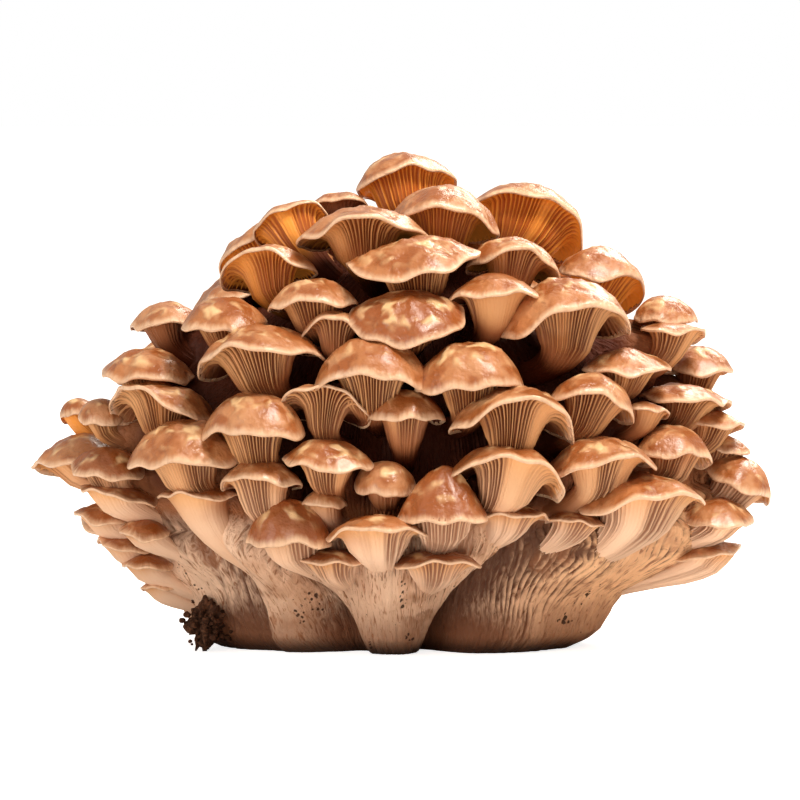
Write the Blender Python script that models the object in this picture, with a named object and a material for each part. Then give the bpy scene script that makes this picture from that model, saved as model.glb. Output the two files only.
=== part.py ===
"""A dense cluster of gilled mushrooms, grown together on a fused base, cut off flat at the ground.

The base forks into five main stems that are pressed flat against each other. Every mushroom is a closed
loft: a domed cap, a funnel-shaped gilled underside that runs off centre into a short stem, and a foot on the
main stems. The large caps are separate solids, trimmed where they press on their neighbours. Young caps are
fused to the main stem that they grow from.

Sizes are in millimetres until they reach a mesh. +X is right, +Y is back and +Z is up. The caps of the front
are laid out as they are seen from the front, from a little above the horizon.
"""

import math
from collections import namedtuple

import bmesh
import bpy
import numpy as np
from mathutils.bvhtree import BVHTree

MM = 0.001

# Driving dimensions of the whole cluster

VIEW_RISE = math.radians(5.0)  # the front caps are laid out as seen from this far above the horizon
FOOT_SEEN = 5.5  # the front foot of the base is seen this far below the middle of the ground
SHELL_HALF = (150.0, 100.0)  # a cap leans towards the outside of an egg of this half width and half depth
SHELL_MIDDLE = 80.0  # height of the egg's widest level
SHELL_ABOVE = 150.0  # the egg's half height above that level
SHELL_BELOW = 110.0  # and below it
GAP = 0.4  # clear gap between pieces that touch
CENTRE = (0.0, 4.0, 0.0)  # moves the middle of the whole cluster over the origin

# The fused base: half widths to the left and right, and half depth, at each height

BASE_HEIGHTS = (0.0, 8.0, 28.0, 46.0, 72.0, 104.0, 136.0, 164.0, 188.0)
BASE_LEFT = (98.0, 106.0, 112.0, 122.0, 130.0, 128.0, 110.0, 80.0, 38.0)
BASE_RIGHT = (90.0, 99.0, 108.0, 136.0, 146.0, 138.0, 115.0, 84.0, 40.0)
BASE_DEPTH = (60.0, 66.0, 72.0, 77.0, 80.0, 76.0, 66.0, 48.0, 24.0)
BASE_TOP = 204.0
FORK_DEPTH = 0.34  # how far a fork's groove cuts in at the ground, as a share of the radius
FORK_WIDTH = math.radians(14.0)
FORK_FADES = 45.0  # height over which the grooves fade

Stem = namedtuple("Stem", "name start end")
STEMS = (
    Stem("stem_left", 150.0, 239.0),
    Stem("stem_middle", 239.0, 288.0),
    Stem("stem_right", 288.0, 388.0),
    Stem("stem_back_right", 388.0, 452.0),
    Stem("stem_back_left", 452.0, 510.0),
)

# A cap: where the middle of its rim is seen, its depth, half width, the height of its dome, its roll with
# the right side up, its pitch backwards, and how far its stem runs down before it meets the base.

Cap = namedtuple("Cap", "name across up depth half dome roll pitch drop")
LARGE_CAPS = (
    Cap("cap_top", 1, 233, 24, 25, 13, 8, 46, 40),
    Cap("cap_top_right", 64, 214, 20, 27, 14, -22, 52, 38),
    Cap("cap_top_front", 20, 214, -30, 26, 16, -3, 24, 30),
    Cap("cap_top_wavy", -20, 208, -48, 31, 14, 2, 12, 32),
    Cap("cap_top_left", -70, 199, 10, 22, 11, 25, 44, 30),
    Cap("cap_shoulder_left", -66, 190, -44, 23, 13, 0, 24, 30),
    Cap("cap_brow", 6, 193, -72, 31, 15, 7, -4, 24),
    Cap("cap_brow_right", 55, 192, -50, 21, 13, -4, 22, 28),
    Cap("cap_shoulder_right", 98, 186, -6, 22, 14, -20, 34, 30),
    Cap("cap_upper_left", -45, 174, -74, 21, 13, 4, 3, 22),
    Cap("cap_upper_right", 45, 177, -74, 22, 12, 2, 6, 28),
    Cap("cap_upper_middle", 2, 166, -88, 27, 14, 2, -24, 20),
    Cap("cap_broad_right", 81, 165, -66, 31, 22, 2, 6, 32),
    Cap("cap_far_right_high", 127, 166, -20, 20, 8, -6, 8, 26),
    Cap("cap_far_left_high", -118, 165, -16, 19, 11, 8, 2, 24),
    Cap("cap_left_high", -88, 165, -60, 21, 13, 2, -14, 22),
    Cap("cap_broad_left", -71, 148, -78, 30, 16, 7, 6, 30),
    Cap("cap_middle", -15, 137, -96, 26, 21, 0, 0, 26),
    Cap("cap_middle_right", 33, 134, -96, 25, 21, 4, -3, 24),
    Cap("cap_arched", 54, 117, -98, 29, 17, 0, 10, 26),
    Cap("cap_wavy_right", 93, 125, -78, 21, 15, -14, 8, 26),
    Cap("cap_left_side", -126, 139, -38, 22, 16, -3, -4, 22),
    Cap("cap_left_round", -73, 110, -92, 24, 20, 0, 0, 24),
    Cap("cap_left_open", -38, 123, -92, 21, 10, -10, 25, 28),
    Cap("cap_right_low_brim", 110, 144, -56, 20, 8, -2, -10, 22),
    Cap("cap_right_side", 143, 127, -26, 20, 8, -10, 3, 22),
    Cap("cap_left_broad_low", -107, 99, -78, 28, 18, 5, -9, 26),
    Cap("cap_left_gilled", -118, 124, -56, 24, 11, -8, 5, 24),
    Cap("cap_far_left", -163, 99, -12, 24, 11, 22, 2, 20),
    Cap("cap_far_left_low", -146, 93, -44, 19, 11, 0, -14, 20),
    Cap("cap_trumpet", -70, 86, -92, 19, 12, -2, 6, 36),
    Cap("cap_left_foot", -56, 59, -92, 20, 19, 0, -12, 22),
    Cap("cap_low_middle", -37, 97, -102, 21, 11, -4, -12, 22),
    Cap("cap_bell", 20, 69, -106, 21, 26, 2, -3, 22),
    Cap("cap_low_right", 52, 90, -100, 27, 15, -9, 12, 28),
    Cap("cap_right_twin", 97, 96, -84, 25, 14, 3, -2, 26),
    Cap("cap_right_broad_low", 118, 78, -72, 31, 13, 2, -2, 40),
    Cap("cap_far_right", 166, 84, -6, 20, 15, -25, 3, 20),
    Cap("cap_front_brim", -15, 62, -104, 21, 9, 2, 2, 24),
)
YOUNG_CAPS = (
    Cap("bud_top_left", -56, 214, -8, 18, 10, 20, 34, 26),
    Cap("bud_top_hidden", -33, 222, 16, 16, 9, 5, 20, 34),
    Cap("bud_upper", -33, 160, -80, 16, 11, -5, 15, 20),
    Cap("bud_right_high", 130, 170, 12, 16, 9, -8, 0, 26),
    Cap("bud_middle", 1, 118, -94, 18, 14, 0, 0, 30),
    Cap("bud_right_edge", 149, 142, 2, 17, 13, -3, 0, 22),
    Cap("bud_right_small", 121, 121, -56, 11, 5, -4, 10, 16),
    Cap("bud_right_tip", 156, 116, -14, 16, 7, -5, 3, 18),
    Cap("bud_right_tip_low", 162, 104, -2, 12, 6, -12, 0, 16),
    Cap("bud_left_knob", -150, 118, -34, 12, 10, 3, -12, 16),
    Cap("bud_left_edge", -162, 120, -4, 10, 8, 15, 10, 16),
    Cap("ledge_left_1", -141, 81, -42, 20, 5, -8, -5, 14),
    Cap("ledge_left_2", -146, 69, -16, 19, 7, -3, -5, 14),
    Cap("ledge_left_3", -128, 62, -44, 13, 6, 0, -15, 12),
    Cap("ledge_left_4", -137, 55, -14, 17, 6, -5, -5, 14),
    Cap("ledge_left_5", -127, 45, -22, 14, 6, 0, -5, 12),
    Cap("ledge_left_6", -121, 34, -16, 11, 5, 5, 0, 10),
    Cap("trumpet_left", -100, 82, -70, 18, 5, 3, -8, 46),
    Cap("bud_low_left", -39, 76, -94, 11, 7, 0, -5, 20),
    Cap("bud_low_middle", -9, 85, -98, 14, 12, 0, -24, 16),
    Cap("twin_right", 133, 99, -50, 18, 16, -5, 4, 18),
    Cap("bud_far_right_low", 157, 68, -22, 19, 10, -5, -10, 16),
    Cap("bud_far_right_foot", 150, 50, -10, 20, 7, 8, 0, 12),
    Cap("brim_right_1", 52, 71, -88, 19, 5, -2, -3, 18),
    Cap("brim_middle_1", -40, 49, -86, 13, 5, 0, -8, 14),
    Cap("brim_middle_2", 16, 48, -90, 20, 5, 0, -6, 16),
    Cap("brim_right_2", 85, 68, -76, 14, 4, -8, -5, 18),
)

# The back, which no view shows, in rows: height, number of caps, half width, dome, lean outwards

Row = namedtuple("Row", "up count half dome lean across deep start")
LARGE_ROWS = (
    Row(60, 4, 32, 17, 6, 138, 92, 0),
    Row(98, 4, 35, 19, 10, 140, 94, -6),
    Row(136, 3, 34, 19, 16, 122, 84, -14),
    Row(171, 3, 31, 17, 24, 90, 64, -8),
    Row(200, 1, 29, 16, 30, 60, 42, 0),
)
YOUNG_ROWS = (
    Row(46, 4, 19, 9, 2, 116, 86, -8),
    Row(79, 5, 20, 10, 8, 140, 94, -6),
    Row(118, 4, 21, 11, 12, 130, 88, -14),
    Row(156, 4, 20, 11, 18, 106, 74, -12),
    Row(192, 2, 22, 12, 26, 62, 44, 12),
)
SEED = 11

LARGE_SIDES, BACK_SIDES, YOUNG_SIDES = 9, 8, 6
FRONT_SHARE, BACK_SHARE = 0.82, 0.62  # a cap's reach outwards and inwards, as a share of its half width
CROWNED_FROM = 15.0  # a young cap wider than this has a rounded dome, a narrower one a plain cone
SHOULDER = 0.7  # where the dome turns down to the rim, as a share of the reach
WAIST, WAIST_SHARE = 0.35, 0.52  # the funnel's waist: its place on the way to the foot, and its width
FLAT = math.radians(0.3)  # faces that turn less than this are joined
FOOT_INSIDE = 34.0  # how deep in the base a stem's foot ends

SOIL_MIDDLE = (-98.0, -34.0, 12.5)
SOIL_HALF = (11.0, 15.0, 13.0)


def base_size(heights, sizes, z):
    """A size of the base at a height, between the listed levels."""
    return float(np.interp(z, heights, sizes))


def base_radius(turn, z):
    """The base's radius at an angle and height: half ellipses to each side, less the grooves at the forks."""
    wide = BASE_RIGHT if math.cos(turn) > 0 else BASE_LEFT
    across = math.cos(turn) / base_size(BASE_HEIGHTS, wide, z)
    deep = math.sin(turn) / base_size(BASE_HEIGHTS, BASE_DEPTH, z)
    groove = 0.0
    for stem in STEMS:
        away = (turn - math.radians(stem.start) + math.pi) % (2 * math.pi) - math.pi
        groove += math.exp(-((away / FORK_WIDTH) ** 2))
    fade = math.exp(-z / FORK_FADES)
    return (1 - FORK_DEPTH * fade * min(groove, 1.0)) / math.hypot(across, deep)


def base_point(turn, z, inset=0.0):
    r = base_radius(turn, z)
    r = max(r - inset, 0.25 * r)
    return np.array((r * math.cos(turn), r * math.sin(turn), z))


def closed_loft(name, rings, first, last):
    """A closed mesh of triangles through rings of the same number of points, with a point at each end."""
    around = len(rings[0])
    points = [first, *[p for ring in rings for p in ring], last]
    sides = [(i, (i + 1) % around) for i in range(around)]
    faces = [(0, 1 + j, 1 + i) for i, j in sides]
    for level in range(len(rings) - 1):
        low, high = 1 + level * around, 1 + (level + 1) * around
        faces += [(low + i, low + j, high + j) for i, j in sides]
        faces += [(low + i, high + j, high + i) for i, j in sides]
    low = 1 + (len(rings) - 1) * around
    faces += [(low + i, low + j, len(points) - 1) for i, j in sides]
    mesh = bpy.data.meshes.new(name)
    mesh.from_pydata(((np.array(points) + CENTRE) * MM).tolist(), [], faces)
    form = bmesh.new()
    form.from_mesh(mesh)
    bmesh.ops.recalc_face_normals(form, faces=form.faces)
    form.to_mesh(mesh)
    form.free()
    return mesh


def main_stem_mesh(stem):
    """One main stem: the base's outside between two forks, and two flat faces pressed on the others."""
    start, end = math.radians(stem.start), math.radians(stem.end)
    middle = (start + end) / 2
    into_start = np.array((-math.sin(start), math.cos(start), 0.0)) * GAP / 2
    into_end = np.array((math.sin(end), -math.cos(end), 0.0)) * GAP / 2
    corner = np.array((math.cos(middle), math.sin(middle), 0.0)) * GAP / 2 / math.sin((end - start) / 2)
    outside = np.linspace(start, end, max(5, round((end - start) / math.radians(13.0))))
    rings = []
    for z in BASE_HEIGHTS:
        ring = [corner + (0, 0, z)]
        ring += [base_point(turn, z) for turn in outside]
        ring[1] = ring[1] + into_start
        ring[-1] = ring[-1] + into_end
        rings.append(np.array(ring))
    foot, top = rings[0].mean(0), rings[-1].mean(0)
    top[2] = BASE_TOP
    return closed_loft(stem.name, rings, foot, top)


def unit(v):
    return v / np.linalg.norm(v)


def shell_normal(point):
    """Outwards from the egg that the rims lie on."""
    half_height = SHELL_ABOVE if point[2] > SHELL_MIDDLE else SHELL_BELOW
    return unit((point - (0, 0, SHELL_MIDDLE)) / np.array((*SHELL_HALF, half_height)) ** 2)


def front_place(cap):
    """The middle of the rim and the cap's axis, from how the cap is seen."""
    height = (cap.up - FOOT_SEEN - cap.depth * math.sin(VIEW_RISE)) / math.cos(VIEW_RISE)
    roll, pitch = math.radians(cap.roll), math.radians(cap.pitch) + VIEW_RISE
    axis = (-math.sin(roll) * math.cos(pitch), math.sin(pitch), math.cos(roll) * math.cos(pitch))
    return np.array((cap.across, cap.depth, height)), np.array(axis)


def mushroom_mesh(cap, middle, axis, sides, crowned):
    """A mushroom as one closed loft: crown, cap, rim, gilled funnel and a stem that narrows to its foot.

    The rim is two half ellipses about the stem. The dome falls off from the crown as a power of the distance.
    The funnel narrows along a bent line from the rim's middle to a foot deep in the base.
    """
    out = shell_normal(middle)
    front = unit(out - np.dot(out, axis) * axis)
    side = np.cross(axis, front)
    turn = np.arange(sides) * 2 * math.pi / sides
    share = np.where(np.cos(turn) > 0, FRONT_SHARE, BACK_SHARE)
    outline = cap.half / np.sqrt(np.sin(turn) ** 2 + (np.cos(turn) / share) ** 2)[:, None]
    spokes = outline * (np.outer(np.cos(turn), front) + np.outer(np.sin(turn), side))
    rings = [middle + spokes]
    if crowned:
        rings.insert(0, middle + spokes * SHOULDER + axis * cap.dome * (1 - SHOULDER**2.6) ** 0.75)
    under = middle - axis * cap.drop
    foot_height = max(10.0, min(under[2], BASE_TOP - 30))
    foot = base_point(math.atan2(under[1], under[0]), foot_height, FOOT_INSIDE)
    bend = middle - axis * 0.45 * np.linalg.norm(foot - middle)
    waist = (1 - WAIST) ** 2 * middle + 2 * WAIST * (1 - WAIST) * bend + WAIST**2 * foot
    ahead = unit(unit(bend - middle) + 0.4 * unit(foot - bend))
    across = unit(side - np.dot(side, ahead) * ahead)
    spokes = np.outer(np.cos(turn), np.cross(ahead, across)) + np.outer(np.sin(turn), across)
    rings.append(waist + spokes * outline * WAIST_SHARE)
    return closed_loft(cap.name, rings, middle + axis * cap.dome, foot)


def back_caps(rows, name):
    """The caps of the back, spread along each row from the right round to the left."""
    random = np.random.default_rng(SEED)
    found = []
    for row in rows:
        step = (180.0 - 2 * row.start) / row.count
        for i in range(row.count):
            turn = math.radians(row.start + (i + 0.5 + random.uniform(-0.08, 0.08)) * step)
            around = np.array((math.cos(turn), math.sin(turn), 0.0))
            middle = around * (row.across, row.deep, 0) + (0, 0, row.up + random.uniform(-4, 4))
            outwards = unit(around / (row.across, row.deep, 1.0))
            lean = math.radians(row.lean + random.uniform(-6, 6))
            axis = outwards * math.sin(lean) + np.array((0, 0, math.cos(lean)))
            size = random.uniform(0.9, 1.08)
            drop = 0.5 * row.half + 10
            cap = Cap(f"{name}_{len(found) + 1}", 0, 0, 0, row.half * size, row.dome * size, 0, 0, drop)
            found.append((cap, middle, axis))
    return found


def collection(name):
    made = bpy.data.collections.new(name)
    bpy.context.scene.collection.children.link(made)
    return made


def material(name, colour, roughness):
    made = bpy.data.materials.new(name)
    made.use_nodes = True
    shader = made.node_tree.nodes["Principled BSDF"]
    shader.inputs["Base Color"].default_value = (*colour, 1.0)
    shader.inputs["Roughness"].default_value = roughness
    shader.inputs["Metallic"].default_value = 0.0
    return made


def bodies(form):
    """The sets of faces that hang together, smallest first."""
    left, found = set(form.faces), []
    while left:
        body, ahead = set(), [left.pop()]
        while ahead:
            face = ahead.pop()
            body.add(face)
            near = {f for e in face.edges for f in e.link_faces if f in left}
            left -= near
            ahead += near
        found.append(body)
    return sorted(found, key=lambda body: sum(f.calc_area() for f in body))


def closed(form):
    return len(form.faces) > 3 and all(len(e.link_faces) == 2 for e in form.edges)


def largest_body(mesh):
    """Keeps the largest body of a mesh that cuts may have left in pieces, and joins its slivers."""
    form = bmesh.new()
    form.from_mesh(mesh)
    for body in bodies(form)[:-1]:
        bmesh.ops.delete(form, geom=list(body), context="FACES")
    form.to_mesh(mesh)
    bmesh.ops.remove_doubles(form, verts=form.verts, dist=0.1 * MM)
    bmesh.ops.dissolve_limit(form, angle_limit=FLAT, verts=form.verts, edges=form.edges)
    if closed(form) and len(bodies(form)) == 1:
        form.to_mesh(mesh)
    form.free()


def volume(mesh):
    """A mesh's volume, or nothing where it is not closed."""
    form = bmesh.new()
    form.from_mesh(mesh)
    size = form.calc_volume(signed=True) / MM**3 if closed(form) else 0.0
    form.free()
    return size


def combined(obj, others, operation):
    """Gives the object a Boolean with each of the others, and keeps the result as a plain mesh of one body.

    A result whose volume cannot be right is made again with the other solver.
    """
    for other in others:
        mine, theirs = volume(obj.data), volume(other.data)
        least, most = (mine - theirs, mine) if operation == "DIFFERENCE" else (mine, mine + theirs)
        least = max(least, 0.25 * mine) - 0.005 * mine
        most *= 1.005
        cut = obj.modifiers.new(other.name, "BOOLEAN")
        cut.operation = operation
        cut.object = other
        for solver in ("EXACT", "MANIFOLD"):
            cut.solver = solver
            graph = bpy.context.evaluated_depsgraph_get()
            mesh = bpy.data.meshes.new_from_object(obj.evaluated_get(graph))
            largest_body(mesh)
            if least <= volume(mesh) <= most:
                break
        obj.modifiers.clear()
        old, obj.data = obj.data, mesh
        bpy.data.meshes.remove(old)


def tree_of(obj):
    form = bmesh.new()
    form.from_mesh(obj.data)
    tree = BVHTree.FromBMesh(form)
    form.free()
    return tree


def touches(a, b):
    return bool(tree_of(a).overlap(tree_of(b)))


def new_object(mesh, folder, skin=None):
    obj = bpy.data.objects.new(mesh.name, mesh)
    folder.objects.link(obj)
    if skin:
        mesh.materials.append(skin)
    return obj


def new_room(piece, folder):
    """A cutter of the piece's form, larger by the gap all round."""
    mesh = piece.data.copy()
    form = bmesh.new()
    form.from_mesh(mesh)
    form.normal_update()
    steps = [v.normal * v.calc_shell_factor() * GAP * MM for v in form.verts]
    for v, step in zip(form.verts, steps):
        v.co += step
    form.to_mesh(mesh)
    form.free()
    room = new_object(mesh, folder)
    room.name = f"{piece.name}_room"
    room.hide_render = True
    room.display_type = "WIRE"
    return room


def soil_mesh():
    """A lump of soil: a ball of three uneven rings, cut flat at the ground."""
    random = np.random.default_rng(SEED)
    turn = np.arange(7) * 2 * math.pi / 7
    rings = []
    for level in (-0.75, 0.0, 0.7):
        round_share = math.sqrt(1 - level**2) * random.uniform(0.85, 1.1, 7)
        shifted = turn + random.uniform(-0.2, 0.2, 7)
        flat = np.column_stack((np.cos(shifted), np.sin(shifted))) * round_share[:, None]
        ring = np.column_stack((flat, np.full(7, level)))
        ring = ring * SOIL_HALF + SOIL_MIDDLE
        ring[:, 2] = np.maximum(ring[:, 2], 0.0)
        rings.append(ring)
    foot, top = np.array(SOIL_MIDDLE), np.array(SOIL_MIDDLE)
    foot[2] = rings[0][0, 2]
    top[2] += SOIL_HALF[2]
    return closed_loft("soil_clump", rings, foot, top)


def stem_of(middle):
    """The main stem that a mushroom's foot stands on."""
    turn = math.degrees(math.atan2(middle[1], middle[0])) % 360
    return next(s for s in STEMS if s.start <= turn < s.end or s.start <= turn + 360 < s.end)


def main():
    for obj in list(bpy.data.objects):
        bpy.data.objects.remove(obj)
    pieces, cutters = collection("mushroom_cluster"), collection("cutters")
    flesh = material("stem_flesh", (0.72, 0.50, 0.36), 0.65)
    skin = material("cap_skin", (0.42, 0.19, 0.09), 0.35)
    stems, rooms = {}, {}
    for stem in STEMS:
        stems[stem.name] = new_object(main_stem_mesh(stem), pieces, flesh)
        rooms[stem.name] = [new_room(stems[stem.name], cutters)]
    young = [(cap, *front_place(cap)) for cap in YOUNG_CAPS] + back_caps(YOUNG_ROWS, "bud_back")
    for cap, middle, axis in young:
        owner = stem_of(middle).name
        bud = new_object(mushroom_mesh(cap, middle, axis, YOUNG_SIDES, cap.half > CROWNED_FROM), pieces)
        room = new_room(bud, cutters)
        for name, taken in rooms.items():
            if name != owner:
                combined(bud, [other for other in taken if touches(bud, other)], "DIFFERENCE")
        rooms[owner].append(room)
        combined(stems[owner], [bud], "UNION")
        bpy.data.objects.remove(bud)
    taken = [room for found in rooms.values() for room in found]
    clump = new_object(soil_mesh(), pieces, material("soil", (0.09, 0.05, 0.03), 0.9))
    combined(clump, [room for room in taken if touches(clump, room)], "DIFFERENCE")
    large = [(cap, *front_place(cap), LARGE_SIDES) for cap in LARGE_CAPS]
    large += [(*cap, BACK_SIDES) for cap in back_caps(LARGE_ROWS, "cap_back")]
    for cap, middle, axis, sides in large:
        piece = new_object(mushroom_mesh(cap, middle, axis, sides, True), pieces, skin)
        room = new_room(piece, cutters)
        combined(piece, [other for other in taken if touches(piece, other)], "DIFFERENCE")
        taken.append(room)


main()
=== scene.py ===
"""Looks of a dense cluster of gilled mushrooms that are grown together on a fused base.

Every mushroom is two closed surfaces: a thin cap with a rounded, wavy margin, and a trumpet of gills that
narrows into a stem. Both are functions of the turn about the cap's axis and of the way down from the crown.
The fused base is five main stems, whose outsides are functions of the turn about the middle and of the
height. Sizes are in millimetres until they reach a mesh. +X is right, +Y is back and +Z is up.
"""

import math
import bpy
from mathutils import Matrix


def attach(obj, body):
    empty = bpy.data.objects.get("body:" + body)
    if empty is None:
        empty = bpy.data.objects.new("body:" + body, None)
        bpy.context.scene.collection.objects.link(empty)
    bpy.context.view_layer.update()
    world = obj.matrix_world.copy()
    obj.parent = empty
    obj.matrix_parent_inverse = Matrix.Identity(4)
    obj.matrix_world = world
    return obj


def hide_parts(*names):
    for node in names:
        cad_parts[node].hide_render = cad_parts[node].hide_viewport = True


bl_info = {
    "name": "Mushroom Cluster",
    "version": (1, 0, 0),
    "blender": (4, 5, 0),
    "location": "View3D > Sidebar > Mushrooms",
    "description": "A cluster of gilled mushrooms on a fused base, built on its packed frame",
    "category": "Object",
}

from collections import namedtuple

import bpy
import numpy as np
from mathutils import Vector
from bpy.props import FloatProperty, FloatVectorProperty, IntProperty, PointerProperty

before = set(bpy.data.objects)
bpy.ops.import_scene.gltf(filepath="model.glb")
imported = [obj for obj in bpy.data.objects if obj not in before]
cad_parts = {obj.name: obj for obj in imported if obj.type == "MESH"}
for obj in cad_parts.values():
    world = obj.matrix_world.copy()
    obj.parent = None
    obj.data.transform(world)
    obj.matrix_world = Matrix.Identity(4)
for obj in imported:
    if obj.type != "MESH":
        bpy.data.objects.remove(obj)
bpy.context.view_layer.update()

MM = 0.001

# The cluster's layout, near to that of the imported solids

VIEW_RISE = math.radians(5.0)  # the front caps are laid out as seen from this far above the horizon
FOOT_SEEN = 5.5  # the front foot of the base is seen this far below the middle of the ground
SHELL_HALF = (150.0, 100.0)  # a cap leans towards the outside of an egg of this half width and half depth
SHELL_MIDDLE = 80.0  # height of the egg's widest level
SHELL_ABOVE = 150.0  # the egg's half height above that level
SHELL_BELOW = 110.0  # and below it
CENTRE = np.array((0.0, 4.0, 0.0))  # moves the middle of the whole cluster over the origin
BASE_HEIGHTS = (0.0, 8.0, 28.0, 46.0, 72.0, 104.0, 136.0, 164.0, 188.0)
BASE_LEFT = (98.0, 106.0, 112.0, 122.0, 130.0, 128.0, 110.0, 80.0, 38.0)
BASE_RIGHT = (90.0, 99.0, 108.0, 136.0, 146.0, 138.0, 115.0, 84.0, 40.0)
BASE_DEPTH = (60.0, 66.0, 72.0, 77.0, 80.0, 76.0, 66.0, 48.0, 24.0)
BASE_TOP = 204.0
FORK_DEPTH = 0.34  # how far a fork's groove cuts in at the ground, as a share of the radius
FORK_WIDTH = math.radians(14.0)
FORK_FADES = 45.0  # height over which the grooves fade
FRONT_SHARE, BACK_SHARE = 0.87, 0.82  # a cap's reach outwards and inwards, as a share of its half width
FOOT_INSIDE = 34.0  # how deep in the base a stem's foot ends
SEED = 11

Stem = namedtuple("Stem", "name start end")
STEMS = (
    Stem("stem_left", 150.0, 239.0),
    Stem("stem_middle", 239.0, 288.0),
    Stem("stem_right", 288.0, 388.0),
    Stem("stem_back_right", 388.0, 452.0),
    Stem("stem_back_left", 452.0, 510.0),
)

# A cap: where the middle of its rim is seen, its depth, half width, the height of its dome, its roll with
# the right side up, its pitch backwards, and how far its stem runs down before it meets the base.

Cap = namedtuple("Cap", "name across up depth half dome roll pitch drop")
LARGE_CAPS = (
    Cap("cap_top", 1, 233, 24, 25, 17, 8, 24, 40),
    Cap("cap_top_right", 63, 215, 20, 28, 19, -22, 29, 38),
    Cap("cap_top_front", 20, 213, -30, 27, 20, -3, 14, 30),
    Cap("cap_top_wavy", -20, 208, -48, 31, 14, 2, 12, 32),
    Cap("cap_top_left", -70, 199, 10, 22, 14, 25, 30, 30),
    Cap("cap_shoulder_left", -66, 190, -44, 23, 13, 0, 24, 30),
    Cap("cap_brow", 6, 193, -72, 31, 15, 7, -4, 24),
    Cap("cap_brow_right", 54, 192.5, -50, 22, 15, -4, 16, 28),
    Cap("cap_shoulder_right", 98, 186, -6, 23, 17, -20, 10, 30),
    Cap("cap_upper_left", -45, 174, -74, 21, 13, 4, 3, 22),
    Cap("cap_upper_right", 45, 177, -74, 22, 12, 2, 6, 28),
    Cap("cap_upper_middle", 2, 166, -88, 27, 14, 2, -24, 20),
    Cap("cap_broad_right", 81, 165, -66, 31, 22, 2, 6, 32),
    Cap("cap_far_right_high", 130, 168, -20, 17, 11, -6, -6, 26),
    Cap("cap_far_left_high", -118, 165, -16, 19, 11, 8, 2, 24),
    Cap("cap_left_high", -88, 165, -60, 21, 13, 2, -14, 22),
    Cap("cap_broad_left", -71, 148, -78, 30, 16, 7, 6, 30),
    Cap("cap_middle", -15, 137, -96, 26, 21, 0, 0, 26),
    Cap("cap_middle_right", 33, 134, -96, 25, 21, 4, -3, 24),
    Cap("cap_arched", 54, 117, -98, 29, 17, 0, 10, 26),
    Cap("cap_wavy_right", 93, 125, -78, 21, 15, -14, 8, 26),
    Cap("cap_left_side", -126, 139, -38, 24, 14, -3, -4, 22),
    Cap("cap_left_round", -73, 110, -92, 24, 20, 0, 0, 24),
    Cap("cap_left_open", -38, 123, -92, 21, 10, -10, 25, 28),
    Cap("cap_right_low_brim", 110, 144, -56, 22, 8, -2, -10, 22),
    Cap("cap_right_side", 139, 127, -26, 25, 8, -8, 3, 22),
    Cap("cap_left_broad_low", -107, 99, -78, 28, 18, 5, -9, 26),
    Cap("cap_left_gilled", -118, 124, -56, 27, 12, -8, 5, 24),
    Cap("cap_far_left", -163, 99, -12, 24, 11, 22, 2, 20),
    Cap("cap_far_left_low", -146, 93, -44, 19, 11, 0, -14, 20),
    Cap("cap_trumpet", -70, 86, -92, 19, 12, -2, 6, 36),
    Cap("cap_left_foot", -56, 59, -92, 20, 19, 0, -12, 22),
    Cap("cap_low_middle", -37, 97, -102, 21, 11, -4, -12, 22),
    Cap("cap_bell", 20, 69, -106, 21, 26, 2, -3, 22),
    Cap("cap_low_right", 52, 90, -100, 27, 15, -9, 12, 28),
    Cap("cap_right_twin", 97, 96, -84, 26, 13, 3, -2, 26),
    Cap("cap_right_broad_low", 118, 78, -72, 31, 13, 2, -2, 40),
    Cap("cap_far_right", 166, 84, -6, 20, 15, -25, 3, 20),
    Cap("cap_front_brim", -13, 62, -104, 24, 9, 2, 2, 24),
)
YOUNG_CAPS = (
    Cap("bud_top_left", -56, 214, -8, 18, 10, 20, 34, 26),
    Cap("bud_top_hidden", -33, 222, 16, 16, 9, 5, 20, 34),
    Cap("bud_upper", -33, 160, -80, 16, 11, -5, 15, 20),
    Cap("bud_right_high", 134, 161, -30, 17, 5, -6, 4, 26),
    Cap("bud_middle", 1, 118, -94, 18, 14, 0, 0, 30),
    Cap("bud_right_edge", 147, 142, 0, 20, 12, -3, 0, 22),
    Cap("bud_right_small", 120, 121, -56, 12, 5, -4, 10, 16),
    Cap("bud_right_tip", 153, 115, -14, 19, 8, -5, 3, 18),
    Cap("bud_right_tip_low", 160, 103, -2, 15, 7, -12, 0, 16),
    Cap("bud_left_knob", -150, 118, -34, 12, 10, 3, -12, 16),
    Cap("bud_left_edge", -162, 120, -4, 10, 8, 15, 10, 16),
    Cap("ledge_left_1", -141, 81, -42, 20, 5, -8, -5, 14),
    Cap("ledge_left_2", -146, 69, -16, 19, 7, -3, -5, 14),
    Cap("ledge_left_3", -128, 62, -44, 13, 6, 0, -15, 12),
    Cap("ledge_left_4", -137, 55, -14, 17, 6, -5, -5, 14),
    Cap("ledge_left_5", -127, 45, -22, 14, 6, 0, -5, 12),
    Cap("ledge_left_6", -121, 34, -16, 11, 5, 5, 0, 10),
    Cap("trumpet_left", -100, 82, -70, 20, 4, 3, -8, 46),
    Cap("bud_low_left", -39, 76, -94, 11, 7, 0, -5, 20),
    Cap("bud_low_middle", -9, 85, -98, 14, 12, 0, -24, 16),
    Cap("twin_right", 133, 99, -50, 20, 15, -5, 4, 18),
    Cap("bud_far_right_low", 157, 68, -22, 19, 10, -5, -10, 16),
    Cap("bud_far_right_foot", 150, 50, -10, 20, 7, 8, 0, 12),
    Cap("brim_right_1", 52, 71, -88, 19, 5, -2, -3, 18),
    Cap("brim_middle_1", -35, 49, -88, 18, 5, 0, -8, 14),
    Cap("brim_middle_2", 16, 48, -90, 21, 5, 0, -6, 16),
    Cap("brim_right_2", 85, 68, -76, 14, 4, -8, -5, 18),
)

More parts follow.
